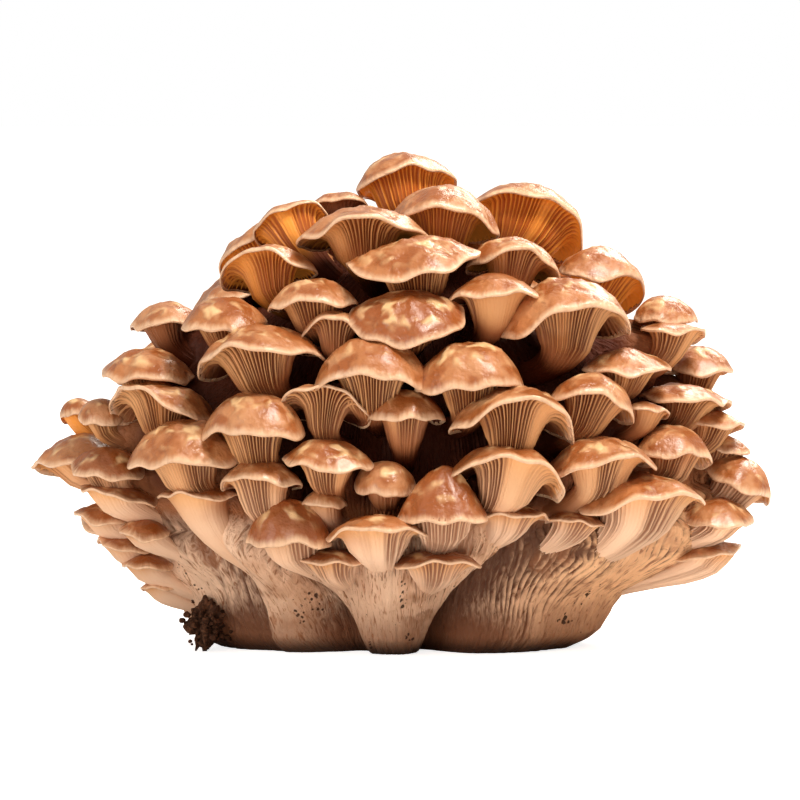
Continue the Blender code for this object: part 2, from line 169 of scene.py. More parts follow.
# A row of caps round the back: height, number, half width, dome, lean, half width and half depth of the
# row, and the turn in degrees at which it starts

Row = namedtuple("Row", "up count half dome lean across deep start")
LARGE_ROWS = (
    Row(60, 4, 32, 17, 6, 138, 92, 0),
    Row(98, 4, 35, 19, 10, 140, 94, -6),
    Row(136, 3, 34, 19, 16, 122, 84, -14),
    Row(171, 3, 31, 17, 24, 90, 64, -8),
    Row(200, 1, 29, 16, 30, 60, 42, 0),
)
YOUNG_ROWS = (
    Row(46, 4, 19, 9, 2, 116, 86, -8),
    Row(79, 5, 20, 10, 8, 140, 94, -6),
    Row(118, 4, 21, 11, 12, 130, 88, -14),
    Row(156, 4, 20, 11, 18, 106, 74, -12),
    Row(192, 2, 22, 12, 26, 62, 44, 12),
)
# Young caps without a solid of their own, which fill gaps on the crown and at the back

CROWN_CAPS = (
    Cap("bud_crown_1", -84, 177, 2, 18, 10, 12, 6, 24),
    Cap("bud_crown_2", -48, 193, 2, 18, 10, 6, 4, 24),
    Cap("bud_crown_3", 37, 198, 0, 19, 10, -3, 4, 24),
    Cap("bud_crown_4", 72, 181, 4, 18, 10, -8, 6, 24),
    Cap("bud_crown_5", -6, 199, 4, 17, 10, 2, 4, 24),
)
SMALL_ROWS = (
    Row(84, 4, 17, 9, 6, 137, 92, 13),
    Row(113, 3, 21, 12, 10, 134, 90, 15),
    Row(134, 2, 21, 12, 16, 123, 84, -2),
    Row(137, 2, 17, 10, 14, 122, 84, 42),
    Row(152, 3, 20, 11, 18, 112, 77, 18),
    Row(180, 2, 19, 11, 24, 80, 57, 30),
)

# How far a margin arches up in front and behind and down at its sides, as a share of the half width

ARCH = 0.06
ARCHES = {
    "cap_top": 0.1,
    "cap_top_right": 0.16,
    "cap_top_front": 0.18,
    "cap_top_wavy": 0.12,
    "cap_top_left": 0.05,
    "cap_shoulder_left": 0.16,
    "cap_brow": -0.12,
    "cap_brow_right": 0.22,
    "cap_shoulder_right": 0.26,
    "cap_upper_middle": -0.05,
    "cap_upper_right": 0.02,
    "bud_upper": 0.25,
    "cap_middle": 0.1,
    "cap_middle_right": 0.04,
    "cap_arched": 0.3,
    "cap_left_open": 0.18,
    "bud_middle": 0.02,
    "cap_left_round": 0.1,
    "cap_broad_left": 0.16,
    "cap_left_gilled": 0.25,
    "cap_left_side": 0.0,
    "cap_left_broad_low": 0.02,
    "cap_broad_right": 0.2,
    "cap_wavy_right": 0.2,
    "cap_low_right": 0.22,
    "cap_right_twin": 0.1,
    "cap_right_broad_low": 0.14,
    "cap_bell": -0.02,
    "cap_trumpet": 0.1,
    "cap_far_left": 0.2,
    "cap_front_brim": 0.12,
    "brim_middle_1": 0.08,
    "cap_right_side": 0.1,
    "bud_right_high": 0.15,
}

# How strong the gills are under caps whose gills are faint

GILLS = {"trumpet_left": 0.0, **{f"ledge_left_{i}": 0.2 for i in range(1, 7)}, "bud_low_left": 0.4}

# Painted light: how much the gills of some caps are painted orange and made to glow, as if light came
# through them

PAINTED_GLOW = {
    "cap_top": 1.0,
    "cap_top_right": 1.0,
    "cap_shoulder_right": 1.0,
    "cap_top_left": 0.9,
    "cap_shoulder_left": 0.6,
    "bud_top_left": 0.9,
    "cap_top_front": 0.5,
    "cap_top_wavy": 0.2,
    "cap_far_left": 0.15,
    "bud_left_edge": 0.9,
    "cap_brow_right": 0.15,
}

# The skin of some caps: 1 is pale and -1 is dark. The others take a tone from 0 to 1 at random.

TONES = {
    "cap_bell": -0.85,
    "cap_left_foot": -1.0,
    "cap_upper_middle": -0.9,
    "cap_far_left_low": -0.8,
    "cap_low_middle": -0.3,
    "bud_middle": -0.4,
    "trumpet_left": -1.0,
    "brim_middle_1": -1.0,
    "brim_middle_2": -1.0,
    "brim_right_1": -0.8,
    "brim_right_2": -0.8,
    **{f"ledge_left_{i}": -0.7 for i in range(1, 7)},
}

# How a cap and its gills are drawn

UNDER = np.array((0.996, 0.98, 0.955, 0.87, 0.55))  # rows of a cap's underside, as shares of its reach
UNDER_RISE = (0, 0, 0.5, 0.88, 0.9)  # how far up in the dome each of those rows lies
UNDER_LIP = np.array((0.5, 0.9, 0.8, 0.9, 1))  # and how far below that, as a share of the lip
RIM_ROWS = 3  # so many of those rows are rim, and the others lie hidden above the gills
LID = np.array((0.5, 0.8, 0.93))  # rows of a trumpet's hidden lid, as shares of its reach
LID_RISE = (0.9, 0.86, 0.5)  # how far up in the dome each of those rows lies
GILL = np.array((1.0, 0.4, 0.0, 0.0, 0.4))  # a gill's height at its five columns
GILL_MIDDLE = 0.6  # the height on a gill that lies on the trumpet's surface

# The base's swells: it swells out under low caps, and some swells run down at a slant

LOW_CAPS = 112.0  # caps lower than this have a swell
SIDE_CAPS = 165.0  # and caps at the cluster's sides that are lower than this
SIDES_FROM = 115.0  # the sides are further out than this
SLANTS = {"trumpet_left": 0.24}  # degrees round for each mm down
RIB_WIDTH = 2.3  # from rib to rib below a cap's gills

# Folds of the base: heights, the turn in degrees at each, the steep side's width, which is negative where
# the steep side comes first, the wide side's width, and the depth

FOLDS = (
    ((0, 27, 42, 55, 67, 90), (212, 213.5, 212.9, 208.7, 205.7, 200), 3.0, 13.0, 10.0),
    ((0, 8, 47, 75), (247, 245, 234, 230), 3.0, 9.0, 9.0),
    ((0, 5, 47, 75), (285, 286, 302, 309), -3.0, 17.0, 15.0),
)

# Pits of the base: the turn in degrees, the height, half the width, half the height and the depth

PITS = ((328.5, 54.0, 3.6, 4.2, 6.0), (322.0, 52.0, 2.2, 3.0, 3.0), (303.0, 68.0, 3.0, 2.0, 3.0))
PIT_TURN = 1.9  # mm round the base for each degree, where the pits are

# Dirt on the base: the turn in degrees, the height, and half the width and height of each cluster of specks

DIRT = (
    (195.3, 41.0, 2.5, 3.5),
    (194.0, 30.0, 4.0, 4.0),
    (226.4, 21.0, 3.5, 8.0),
    (231.6, 28.0, 3.0, 7.0),
    (270.0, 32.0, 3.0, 9.0),
    (273.0, 9.0, 4.0, 4.0),
    (256.0, 7.0, 4.0, 4.0),
    (330.0, 16.0, 7.0, 8.0),
    (336.0, 26.0, 4.0, 7.0),
)
DIRT_TURN = 1.6  # mm round the base for each degree, where the dirt is

SOIL_MIDDLE = (-98.0, -34.0, 12.5)
SOIL_HALF = (11.0, 15.0, 13.0)
SOIL_SHARE = 0.74  # the lump's size as a share of that, before its crumbs

WARM_SKY = (1.0, 0.90, 0.80)


# Noise and small vector functions, on whole arrays


def lattice(points, seed):
    """Smooth random values from -1 to 1: random numbers on a cubic lattice, blended between its corners."""
    cell = np.floor(points)
    part = points - cell
    part = part * part * (3 - 2 * part)
    total = np.zeros(points.shape[:-1])
    for corner in np.ndindex(2, 2, 2):
        value = np.sin((cell + corner) @ (127.1, 311.7, 74.7) + seed * 17.3) * 43758.5453
        weight = np.prod(np.where(corner, part, 1 - part), axis=-1)
        total += (value - np.floor(value)) * weight
    return 2 * total - 1


def layered(points, seed, layers=3):
    """Noise of several sizes: each layer is half the size and half the strength of the last."""
    return sum(lattice(points * 2**i, seed + i) / 2**i for i in range(layers)) / (2 - 2 ** (1 - layers))


def unit(v):
    return v / np.linalg.norm(v, axis=-1, keepdims=True)


def step_between(low, high, x):
    """A smooth step from 0 at low to 1 at high."""
    t = np.clip((x - low) / (high - low), 0, 1)
    return t * t * (3 - 2 * t)


def base_radius(turn, z):
    """The base's radius: half ellipses to the left and right, less the grooves at the forks."""
    left, right = np.interp(z, BASE_HEIGHTS, BASE_LEFT), np.interp(z, BASE_HEIGHTS, BASE_RIGHT)
    across = np.cos(turn) / np.where(np.cos(turn) > 0, right, left)
    deep = np.sin(turn) / np.interp(z, BASE_HEIGHTS, BASE_DEPTH)
    groove = sum(
        np.exp(-((((turn - math.radians(s.start) + math.pi) % (2 * math.pi) - math.pi) / FORK_WIDTH) ** 2))
        for s in STEMS
    )
    return (1 - FORK_DEPTH * np.exp(-z / FORK_FADES) * np.minimum(groove, 1)) / np.hypot(across, deep)


def base_point(turn, z, inset=0.0):
    r = base_radius(turn, z)
    r = max(r - inset, 0.25 * r)
    return np.array((r * math.cos(turn), r * math.sin(turn), z))


# Closed surfaces and the pieces made of them


def closed_grid(rings, first, last, slot, **values):
    """A closed surface through rings of points, with a point at each end.

    The values are one number or vector for each ring point, and the end points take the mean of the nearest
    ring. The material slot is a number, or one number for each band between two rings.
    """
    count, around, _ = rings.shape
    i = np.arange(around)
    j = (i + 1) % around
    low = 1 + around * np.arange(count - 1)[:, None]
    quads = np.stack((low + i, low + around + i, low + around + j, low + j), -1).reshape(-1, 4)
    end = 1 + around * (count - 1)
    first_lid = np.stack((0 * i, 1 + i, 1 + j), -1)
    last_lid = np.stack((0 * i + 1 + around * count, end + j, end + i), -1)
    flat = {}
    for name, value in values.items():
        value = np.broadcast_to(value, (count, around, *np.shape(value)[2:]))
        inner = value.reshape(-1, *value.shape[2:])
        flat[name] = np.concatenate((value[:1].mean(1), inner, value[-1:].mean(1)))
    bands = np.broadcast_to(slot, count - 1)
    return {
        "points": np.concatenate(([first], rings.reshape(-1, 3), [last])),
        "quads": quads,
        "tris": np.concatenate((first_lid, last_lid)),
        "slots": np.repeat(np.concatenate((bands, bands[:1], bands[-1:])), around),
        "values": flat,
    }


def add_piece(name, surfaces, materials, nodes):
    """Joins closed surfaces into one smooth piece that rides on the root and stands for the nodes."""
    counts = [len(s["points"]) for s in surfaces]
    points = (np.concatenate([s["points"] for s in surfaces]) + CENTRE) * MM
    corners, sizes = [], []
    for surface, start in zip(surfaces, np.cumsum([0, *counts[:-1]])):
        for faces in (surface["quads"], surface["tris"]):
            corners.append((faces + start).ravel())
            sizes.append(np.full(len(faces), faces.shape[1]))
    corners, sizes = np.concatenate(corners), np.concatenate(sizes)
    slots = np.concatenate([s["slots"] for s in surfaces])
    mesh = bpy.data.meshes.new(name)
    mesh.vertices.add(len(points))
    mesh.vertices.foreach_set("co", points.ravel().astype(np.float32))
    mesh.loops.add(len(corners))
    mesh.loops.foreach_set("vertex_index", corners.astype(np.int32))
    mesh.polygons.add(len(sizes))
    mesh.polygons.foreach_set("loop_start", np.concatenate(([0], np.cumsum(sizes)[:-1])).astype(np.int32))
    mesh.polygons.foreach_set("loop_total", sizes.astype(np.int32))
    mesh.polygons.foreach_set("use_smooth", np.ones(len(sizes), bool))
    for material in materials:
        mesh.materials.append(material)
    mesh.polygons.foreach_set("material_index", slots.astype(np.int32))
    for value in sorted({key for s in surfaces for key in s["values"]}):
        data = np.concatenate([s["values"][value] for s in surfaces]).astype(np.float32)
        layer = mesh.attributes.new(value, "FLOAT_VECTOR" if data.ndim == 2 else "FLOAT", "POINT")
        layer.data.foreach_set("vector" if data.ndim == 2 else "value", data.ravel())
    mesh.update()
    if mesh.validate():
        raise ValueError(f"{name} has faces that are not valid")
    piece = bpy.data.objects.new(name, mesh)
    bpy.context.scene.collection.objects.link(piece)
    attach(piece, "root")
    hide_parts(*nodes)
    return piece


# Mushrooms


def stem_of(middle):
    """The main stem that a mushroom's foot stands on."""
    turn = math.degrees(math.atan2(middle[1], middle[0])) % 360
    return next(s for s in STEMS if s.start <= turn < s.end or s.start <= turn + 360 < s.end)


def shell_normal(point):
    """Outwards from the egg that the rims lie on."""
    half_height = SHELL_ABOVE if point[2] > SHELL_MIDDLE else SHELL_BELOW
    return unit((point - (0, 0, SHELL_MIDDLE)) / np.array((*SHELL_HALF, half_height)) ** 2)


def front_place(cap):
    """The middle of the rim and the cap's axis, from how the cap is seen."""
    height = (cap.up - FOOT_SEEN - cap.depth * math.sin(VIEW_RISE)) / math.cos(VIEW_RISE)
    roll, pitch = math.radians(cap.roll), math.radians(cap.pitch) + VIEW_RISE
    axis = (-math.sin(roll) * math.cos(pitch), math.sin(pitch), math.cos(roll) * math.cos(pitch))
    return np.array((cap.across, cap.depth, height)), np.array(axis)


def back_caps(rows, name):
    """The caps of the back, spread along each row from the right round to the left."""
    random = np.random.default_rng(SEED)
    found = []
    for row in rows:
        step = (180.0 - 2 * row.start) / row.count
        for i in range(row.count):
            turn = math.radians(row.start + (i + 0.5 + random.uniform(-0.08, 0.08)) * step)
            around = np.array((math.cos(turn), math.sin(turn), 0.0))
            middle = around * (row.across, row.deep, 0) + (0, 0, row.up + random.uniform(-4, 4))
            outwards = unit(around / (row.across, row.deep, 1.0))
            lean = math.radians(row.lean + random.uniform(-6, 6))
            axis = outwards * math.sin(lean) + np.array((0, 0, math.cos(lean)))
            size = random.uniform(0.9, 1.08)
            drop = 0.5 * row.half + 10
            cap = Cap(f"{name}_{len(found) + 1}", 0, 0, 0, row.half * size, row.dome * size, 0, 0, drop)
            found.append((cap, middle, axis))
    return found


Growth = namedtuple("Growth", "cap middle axis front side waves lip glow seed shape")


def margin(grown, turn):
    """A margin's reach at each turn, and how far it is above or below its plane.

    It is two half ellipses about the stem, times one plus a few sine waves of the turn.
    """
    half, waves, shape = grown.cap.half, grown.waves, grown.shape
    share = np.where(np.cos(turn) > 0, FRONT_SHARE, BACK_SHARE)
    reach = half / np.sqrt(np.sin(turn) ** 2 + (np.cos(turn) / share) ** 2)
    ripple = 0.6 * np.sin(3 * turn + waves[0]) + 0.4 * np.sin(5 * turn + waves[1])
    ripple += 0.35 * np.sin(9 * turn + waves[2]) * np.sin(2 * turn + waves[3])
    lift = 0.35 * np.sin(2 * turn + waves[4]) + 0.55 * np.sin(3 * turn + waves[5])
    lift += 0.45 * np.sin(5 * turn + waves[6]) + 0.35 * np.sin(8 * turn + waves[7])
    lift = shape.margin_lift * lift + ARCHES.get(grown.cap.name, ARCH) * np.cos(2 * turn)
    return reach * (shape.spread + shape.margin_ripple * ripple), half * lift


def dome_at(cap, q):
    """A dome's height at a share q of its reach: (1 - q ^ power) ^ steepness, by how high the dome is."""
    height = cap.dome / cap.half
    power = np.interp(height, (0.45, 0.85, 1.0, 1.25), (2.0, 2.6, 2.4, 1.8))
    steepness = np.interp(height, (0.45, 0.85, 1.0, 1.25), (1.0, 0.72, 0.8, 1.05))
    return cap.dome * (1 - np.clip(q, 0, 1) ** power) ** steepness


def cap_surface(grown, ripe, columns, rows):
    """A cap: down from the crown, round the lip, and back up its underside at the lip's thickness."""
    cap, middle, axis = grown.cap, grown.middle, grown.axis
    turn = np.arange(columns) * 2 * math.pi / columns
    reach, lift = margin(grown, turn)
    spokes = np.outer(np.cos(turn), grown.front) + np.outer(np.sin(turn), grown.side)
    q = np.sin(np.linspace(0, math.pi / 2, rows + 1)[1:]) ** 0.9
    below = dome_at(cap, UNDER) * UNDER_RISE - grown.lip * UNDER_LIP
    rise = np.concatenate((dome_at(cap, q), below))[:, None]
    q = np.concatenate((q, UNDER))[:, None]
    rise = rise + lift * q**4
    skin = middle + q[..., None] * reach[:, None] * spokes + rise[..., None] * axis
    row = np.arange(len(q))[:, None]
    lumps = layered(skin / 8.0, grown.seed, 4) * 0.095 * cap.half * np.where(row < rows, 1 - q**6, 0)
    skin += lumps[..., None] * axis
    steps = np.linalg.norm(np.diff(skin[:rows], axis=0), axis=-1)
    to_lip = np.zeros(lumps.shape)
    to_lip[: rows - 1] = np.cumsum(steps[::-1], axis=0)[::-1]
    hidden = row >= rows + RIM_ROWS
    around = np.stack((np.cos(turn), np.sin(turn), 0 * turn + grown.seed), -1)
    values = {
        "reach": np.where(hidden, 0.2, q),
        "ripe": ripe,
        "glow": grown.glow,
        "streak": around + q[..., None] * (0, 0, 0.25),
        "margin": np.clip(1 - to_lip / 8.0, 0, 1),
        # painted shade on the rows hidden above the gills
        "crease": 0.8 * hidden,
    }
    crown = middle + axis * (cap.dome + lumps[0].mean())
    ceiling = middle + axis * (0.86 * cap.dome - grown.lip)
    bands = (row[:-1, 0] >= rows + RIM_ROWS - 1).astype(int)
    return closed_grid(skin, crown, ceiling, bands, **values)


def stem_line(grown, u, low):
    """A trumpet's middle line and the way it runs, at each share u of the way down.

    The line bends once on its way from the margin's middle to a foot in the base.
    """
    cap, middle, axis = grown.cap, grown.middle, grown.axis
    bottom = middle - axis * (cap.drop + 16 * low)
    foot_height = max(10.0, min(bottom[2], BASE_TOP - 30))
    foot = base_point(math.atan2(bottom[1], bottom[0]), foot_height, FOOT_INSIDE - 8 * low)
    bend = middle - axis * min(0.45 * np.linalg.norm(foot - middle), (1.1 - 0.75 * low) * cap.drop)
    along = (0.8 + 0.2 * low) * np.clip((u - 0.1) / 0.9, 0, 1) ** 1.35
    centre = (1 - along) ** 2 * middle + 2 * along * (1 - along) * bend + along**2 * foot
    return centre, unit((1 - along) * (bend - middle) + along * (foot - bend))


def trumpet_surface(grown, gills, rows):
    """A trumpet of gills that narrows into a stem.

    Its radius falls as a power of the share u of the way down, and it lies under the dome near the margin.
    Gills are waves across it, five columns each: every second gill fades half way down. low is 1 on the
    base's side, where trumpets run down along the base, and hollow is 1 where a cap leans back.
    """
    cap, middle, axis, lip = grown.cap, grown.middle, grown.axis, grown.lip
    half, waves, seed, shape = cap.half, grown.waves, grown.seed, grown.shape
    number = np.arange(5 * gills)
    turn = number * 2 * math.pi / len(number)
    turn = turn + (0.9 * np.sin(5 * turn + waves[2]) + 0.7 * np.sin(11 * turn + waves[5])) / gills
    across, onward = np.sin(turn)[:, None], np.cos(turn)[:, None]
    around = np.concatenate((onward, across, 0 * across + seed), 1)
    reach, lift = margin(grown, turn)
    u = np.linspace(0, 1, rows)[:, None] ** 1.15
    low = 1 - step_between(LOW_CAPS - 40, LOW_CAPS, middle[2])
    hollow = step_between(0.1, 0.6, -np.dot(axis, unit(shell_normal(middle) * (1, 1, 0))))
    narrow = (1 - u) ** (2.3 + hollow - 0.9 * max(grown.glow, low))
    centre, ahead = stem_line(grown, u, low)
    ahead = unit(ahead * (1 - narrow) - axis * narrow)
    side = unit(grown.side - (ahead @ grown.side)[:, None] * ahead)
    spokes = onward * np.cross(ahead, side)[:, None] + across * side[:, None]

    # The radius, wider where the stem is fused to the base, and the rise under the dome

    stem = (shape.stem_least + shape.stem_share * half) * (1 + 0.12 * layered(around * 1.3, seed))
    x, y, z = centre[:, :1], centre[:, 1:2], centre[:, 2:]
    beyond = np.maximum(np.hypot(x, y) - base_radius(np.arctan2(y, x), z), 0)
    fused = np.exp(-((beyond / 14.0) ** 2)) * step_between(0.2, 0.5, u)
    fused = fused * (1 - 0.9 * step_between(60, 95, z))
    stem = stem * (1 - 0.8 * low * step_between(0.35, 1, u))
    radius = stem + (0.985 * reach - stem) * narrow + 0.28 * (1 - low) * half * fused
    tucked = cap.dome * (0.36 + 0.28 * hollow) * np.sin(math.pi * np.clip(u / 0.42, 0, 1))
    tucked = tucked * (0.985 * reach / half) - lip * 0.7
    share = np.clip(radius / reach, 0, 1)
    raised = np.minimum(tucked, 0.6 * dome_at(cap, share) - lip * 0.7) + lift * share**4
    rings = centre[:, None] + radius[..., None] * spokes
    rings += (raised * np.minimum(1, narrow * 3))[..., None] * axis
    outwards = unit(np.cross(np.gradient(rings, axis=0), np.roll(rings, -1, 1) - np.roll(rings, 1, 1)))

    # The gills

    strength = 0.75 + 0.25 * np.sin(number // 5 * 2.4 + waves[3])
    fade = np.where(number // 5 % 2 == 1, 1 - step_between(0.22, 0.5, u), 1.0)
    clear = GILLS.get(cap.name, 1.0) * step_between(-0.75, 0.1, lattice(around * 1.6, seed + 9))
    clear = clear * (1 - 0.75 * grown.glow * step_between(0.28, 0.05, u))
    ridge = GILL[number % 5] * strength * fade - GILL_MIDDLE
    ridge = GILL_MIDDLE + ridge * (0.1 + 0.9 * clear)
    depth = np.interp(u, (0, 0.04, 0.15, 0.4, 0.7, 1), (0.15, 0.6, 1, 0.75, 0.35, 0.2))
    depth = depth * shape.gill_depth * (half / 27) ** 0.6
    rings += outwards * (depth * (ridge - GILL_MIDDLE))[..., None]
    rough = layered(rings / 9.0, seed + 5) * np.interp(u, (0, 0.5, 1), (0.1, 0.6, 1.2))
    rings += outwards * rough[..., None]
    # Painted shade: the valleys between gills are darker, less so where gills are faint and down the stem
    crease = (1 - ridge) * (0.2 + 0.8 * clear)
    crease = crease * np.interp(u, (0, 0.1, 0.5, 0.8, 1), (0.6, 1, 0.9, 0.5, 0.3))
    crease = crease * (1 - 0.5 * low * step_between(0.3, 0.8, u))

    # The hidden lid

    lid = middle + (LID[:, None] * reach)[..., None] * (onward * grown.front + across * grown.side)
    rise = (dome_at(cap, LID) * LID_RISE - lip * 0.5)[:, None] + lift * LID[:, None] ** 4
    rings = np.concatenate((lid + rise[..., None] * axis, rings))
    values = {
        "reach": np.concatenate((0 * LID[:, None], u)),
        "ripe": low,
        "glow": grown.glow,
        "streak": np.zeros((1, 1, 3)),
        "margin": 0.0,
        "crease": np.concatenate((np.zeros((len(LID), len(number))), crease)),
    }
    return closed_grid(rings, middle + axis * (cap.dome * 0.9 - lip * 0.5), centre[-1], 1, **values)


def mushroom(cap, middle, axis, shape, seed, sizes):
    """A mushroom's two closed surfaces, its cap and its trumpet of gills.

    The sizes are the columns and rows of the cap, and the rows of the trumpet.
    """
    columns, rows, trumpet_rows = sizes
    out = shell_normal(middle)
    front = unit(out - np.dot(out, axis) * axis)
    random = np.random.default_rng(seed)
    waves = random.uniform(0, 2 * math.pi, 8)
    ripe = TONES.get(cap.name, random.uniform(0, 1))
    lip = shape.lip * (0.6 + 0.4 * cap.half / 27)
    glow = PAINTED_GLOW.get(cap.name, 0.0)
    grown = Growth(cap, middle, axis, front, np.cross(axis, front), waves, lip, glow, seed, shape)
    gills = int(np.clip(round(2 * math.pi * cap.half * 0.85 / shape.gill_width), 18, 64))
    trumpet = trumpet_surface(grown, gills + gills % 2, trumpet_rows)
    return [cap_surface(grown, ripe, columns, rows), trumpet]


# Node helpers


def put(tree, socket, value):
    """Links a socket into a node's input, or sets its value. A colour may come without its alpha."""
    if isinstance(value, bpy.types.NodeSocket):
        tree.links.new(value, socket)
    elif socket.type == "RGBA":
        socket.default_value = (*value, 1)[:4]
    else:
        socket.default_value = value


def add_node(tree, kind, inputs=(), **settings):
    """Adds a shader node. Its inputs map a socket's name or number to a value or a socket."""
    made = tree.nodes.new(kind)
    for name, value in settings.items():
        setattr(made, name, value)
    for name, value in dict(inputs).items():
        put(tree, made.inputs[name], value)
    return made


def mixed(tree, factor, a, b):
    """A colour between two colours."""
    made = tree.nodes.new("ShaderNodeMix")
    made.data_type = "RGBA"
    for number, value in ((0, factor), (6, a), (7, b)):
        put(tree, made.inputs[number], value)
    return made.outputs[2]


def maths(tree, operation, *values):
    return add_node(tree, "ShaderNodeMath", dict(enumerate(values)), operation=operation).outputs[0]


def ramped(tree, value, low, high, start=0.0, end=1.0):
    """A smooth step from start, where the value is low, to end, where it is high."""
    inputs = {"Value": value, "From Min": low, "From Max": high, "To Min": start, "To Max": end}
    return add_node(tree, "ShaderNodeMapRange", inputs, interpolation_type="SMOOTHSTEP").outputs["Result"]


def stored(tree, name, output="Fac"):
    """A value that the mesh holds."""
    return add_node(tree, "ShaderNodeAttribute", attribute_name=name).outputs[output]


def noise(tree, vector, scale, detail=3.0, distortion=0.0):
    inputs = {"Vector": vector, "Scale": scale, "Detail": detail, "Distortion": distortion}
    return add_node(tree, "ShaderNodeTexNoise", inputs).outputs["Fac"]


def new_group(name, inputs, outputs):
    """A node group with named inputs and outputs, and its two end nodes."""
    group = bpy.data.node_groups.new(name, "ShaderNodeTree")
    for socket, kind, value in inputs:
        made = group.interface.new_socket(socket, in_out="INPUT", socket_type=kind)
        made.default_value = value
    for socket, kind in outputs:
        group.interface.new_socket(socket, in_out="OUTPUT", socket_type=kind)
    return group, group.nodes.new("NodeGroupInput").outputs, group.nodes.new("NodeGroupOutput").inputs


def spots_group():
    """Soft spots at random over the surface: 1 inside a spot, 0 outside."""
    sizes = {"Scale": 90.0, "Amount": 0.5, "Softness": 0.1}
    inputs = [(name, "NodeSocketFloat", value) for name, value in sizes.items()]
    group, start, end = new_group("Soft Spots", inputs, [("Mask", "NodeSocketFloat")])
    place = add_node(group, "ShaderNodeTexCoord").outputs["Object"]
    level = noise(group, place, start["Scale"], 1.4, 0.3)
    low = maths(group, "SUBTRACT", 1.0, start["Amount"])
    put(group, end["Mask"], ramped(group, level, low, maths(group, "ADD", low, start["Softness"])))
    return group


def grain_group():
    """The fine unevenness of damp flesh, as a height."""
    group, start, end = new_group(
        "Flesh Grain", [("Scale", "NodeSocketFloat", 400.0)], [("Height", "NodeSocketFloat")]
    )
    place = add_node(group, "ShaderNodeTexCoord").outputs["Object"]
    fine = noise(group, place, start["Scale"], 4.0)
    coarse = noise(group, place, maths(group, "MULTIPLY", start["Scale"], 0.25), 2.0)
    put(group, end["Height"], maths(group, "ADD", fine, coarse))
    return group


def depths_group():
    """Darkens a colour deep inside the egg of the cluster, above the trunks, where little light gets in."""
    group, start, end = new_group(
        "Cluster Depths",
        [
            ("Colour", "NodeSocketColor", (1, 1, 1, 1)),
            ("Middle Colour", "NodeSocketColor", (0.4, 0.15, 0.06, 1)),
            ("Deep Colour", "NodeSocketColor", (0.05, 0.01, 0.0, 1)),
        ],
        [("Colour", "NodeSocketColor")],
    )
    half = (0.166, 0.112, 0.162)
    middle = (0.0, 0.004, 0.082)
    place = add_node(group, "ShaderNodeTexCoord").outputs["Object"]
    shift = tuple(-m / h for m, h in zip(middle, half))
    inputs = {"Vector": place, "Location": shift, "Scale": tuple(1 / h for h in half)}
    egg = add_node(group, "ShaderNodeMapping", inputs).outputs["Vector"]
    away = add_node(group, "ShaderNodeVectorMath", {0: egg}, operation="LENGTH").outputs["Value"]
    height = add_node(group, "ShaderNodeSeparateXYZ", {0: place}).outputs["Z"]
    inside = ramped(group, away, 0.77, 1.0, 1.0, 0.0)
    inside = maths(group, "MULTIPLY", inside, ramped(group, height, 0.06, 0.09))
    half_way = mixed(group, ramped(group, inside, 0.0, 0.4), start["Colour"], start["Middle Colour"])
    put(group, end["Colour"], mixed(group, ramped(group, inside, 0.3, 0.9), half_way, start["Deep Colour"]))
    return group


def shared(name):
    """One of the node groups, made when it is first wanted."""
    makers = {"Soft Spots": spots_group, "Flesh Grain": grain_group, "Cluster Depths": depths_group}
    return bpy.data.node_groups.get(name) or makers[name]()


def grouped(tree, name, inputs):
    made = tree.nodes.new("ShaderNodeGroup")
    made.node_tree = shared(name)
    for socket, value in inputs.items():
        put(tree, made.inputs[socket], value)
    return made.outputs[0]


def bumped(tree, height, strength, distance):
    """A normal tilted by a height in units of the distance, in metres."""
    inputs = {"Height": height, "Strength": strength, "Distance": distance}
    return add_node(tree, "ShaderNodeBump", inputs).outputs["Normal"]


def new_material(name, roughness, coat):
    """A new material, its node tree and the inputs of its one shader."""
    made = bpy.data.materials.new(name)
    made.use_nodes = True
    shader = made.node_tree.nodes["Principled BSDF"]
    shader.inputs["Roughness"].default_value = roughness
    shader.inputs["Coat Weight"].default_value = coat
    shader.inputs["Coat Roughness"].default_value = 0.22
    shader.inputs["Specular IOR Level"].default_value = 0.2 if roughness > 0.45 else 0.5
    return made, made.node_tree, shader.inputs


def shadowed(tree, look, colour):
    """A colour with painted shade deep in the cluster."""
    inputs = {"Colour": colour, "Middle Colour": look.shadow, "Deep Colour": look.depth_shade}
    return grouped(tree, "Cluster Depths", inputs)


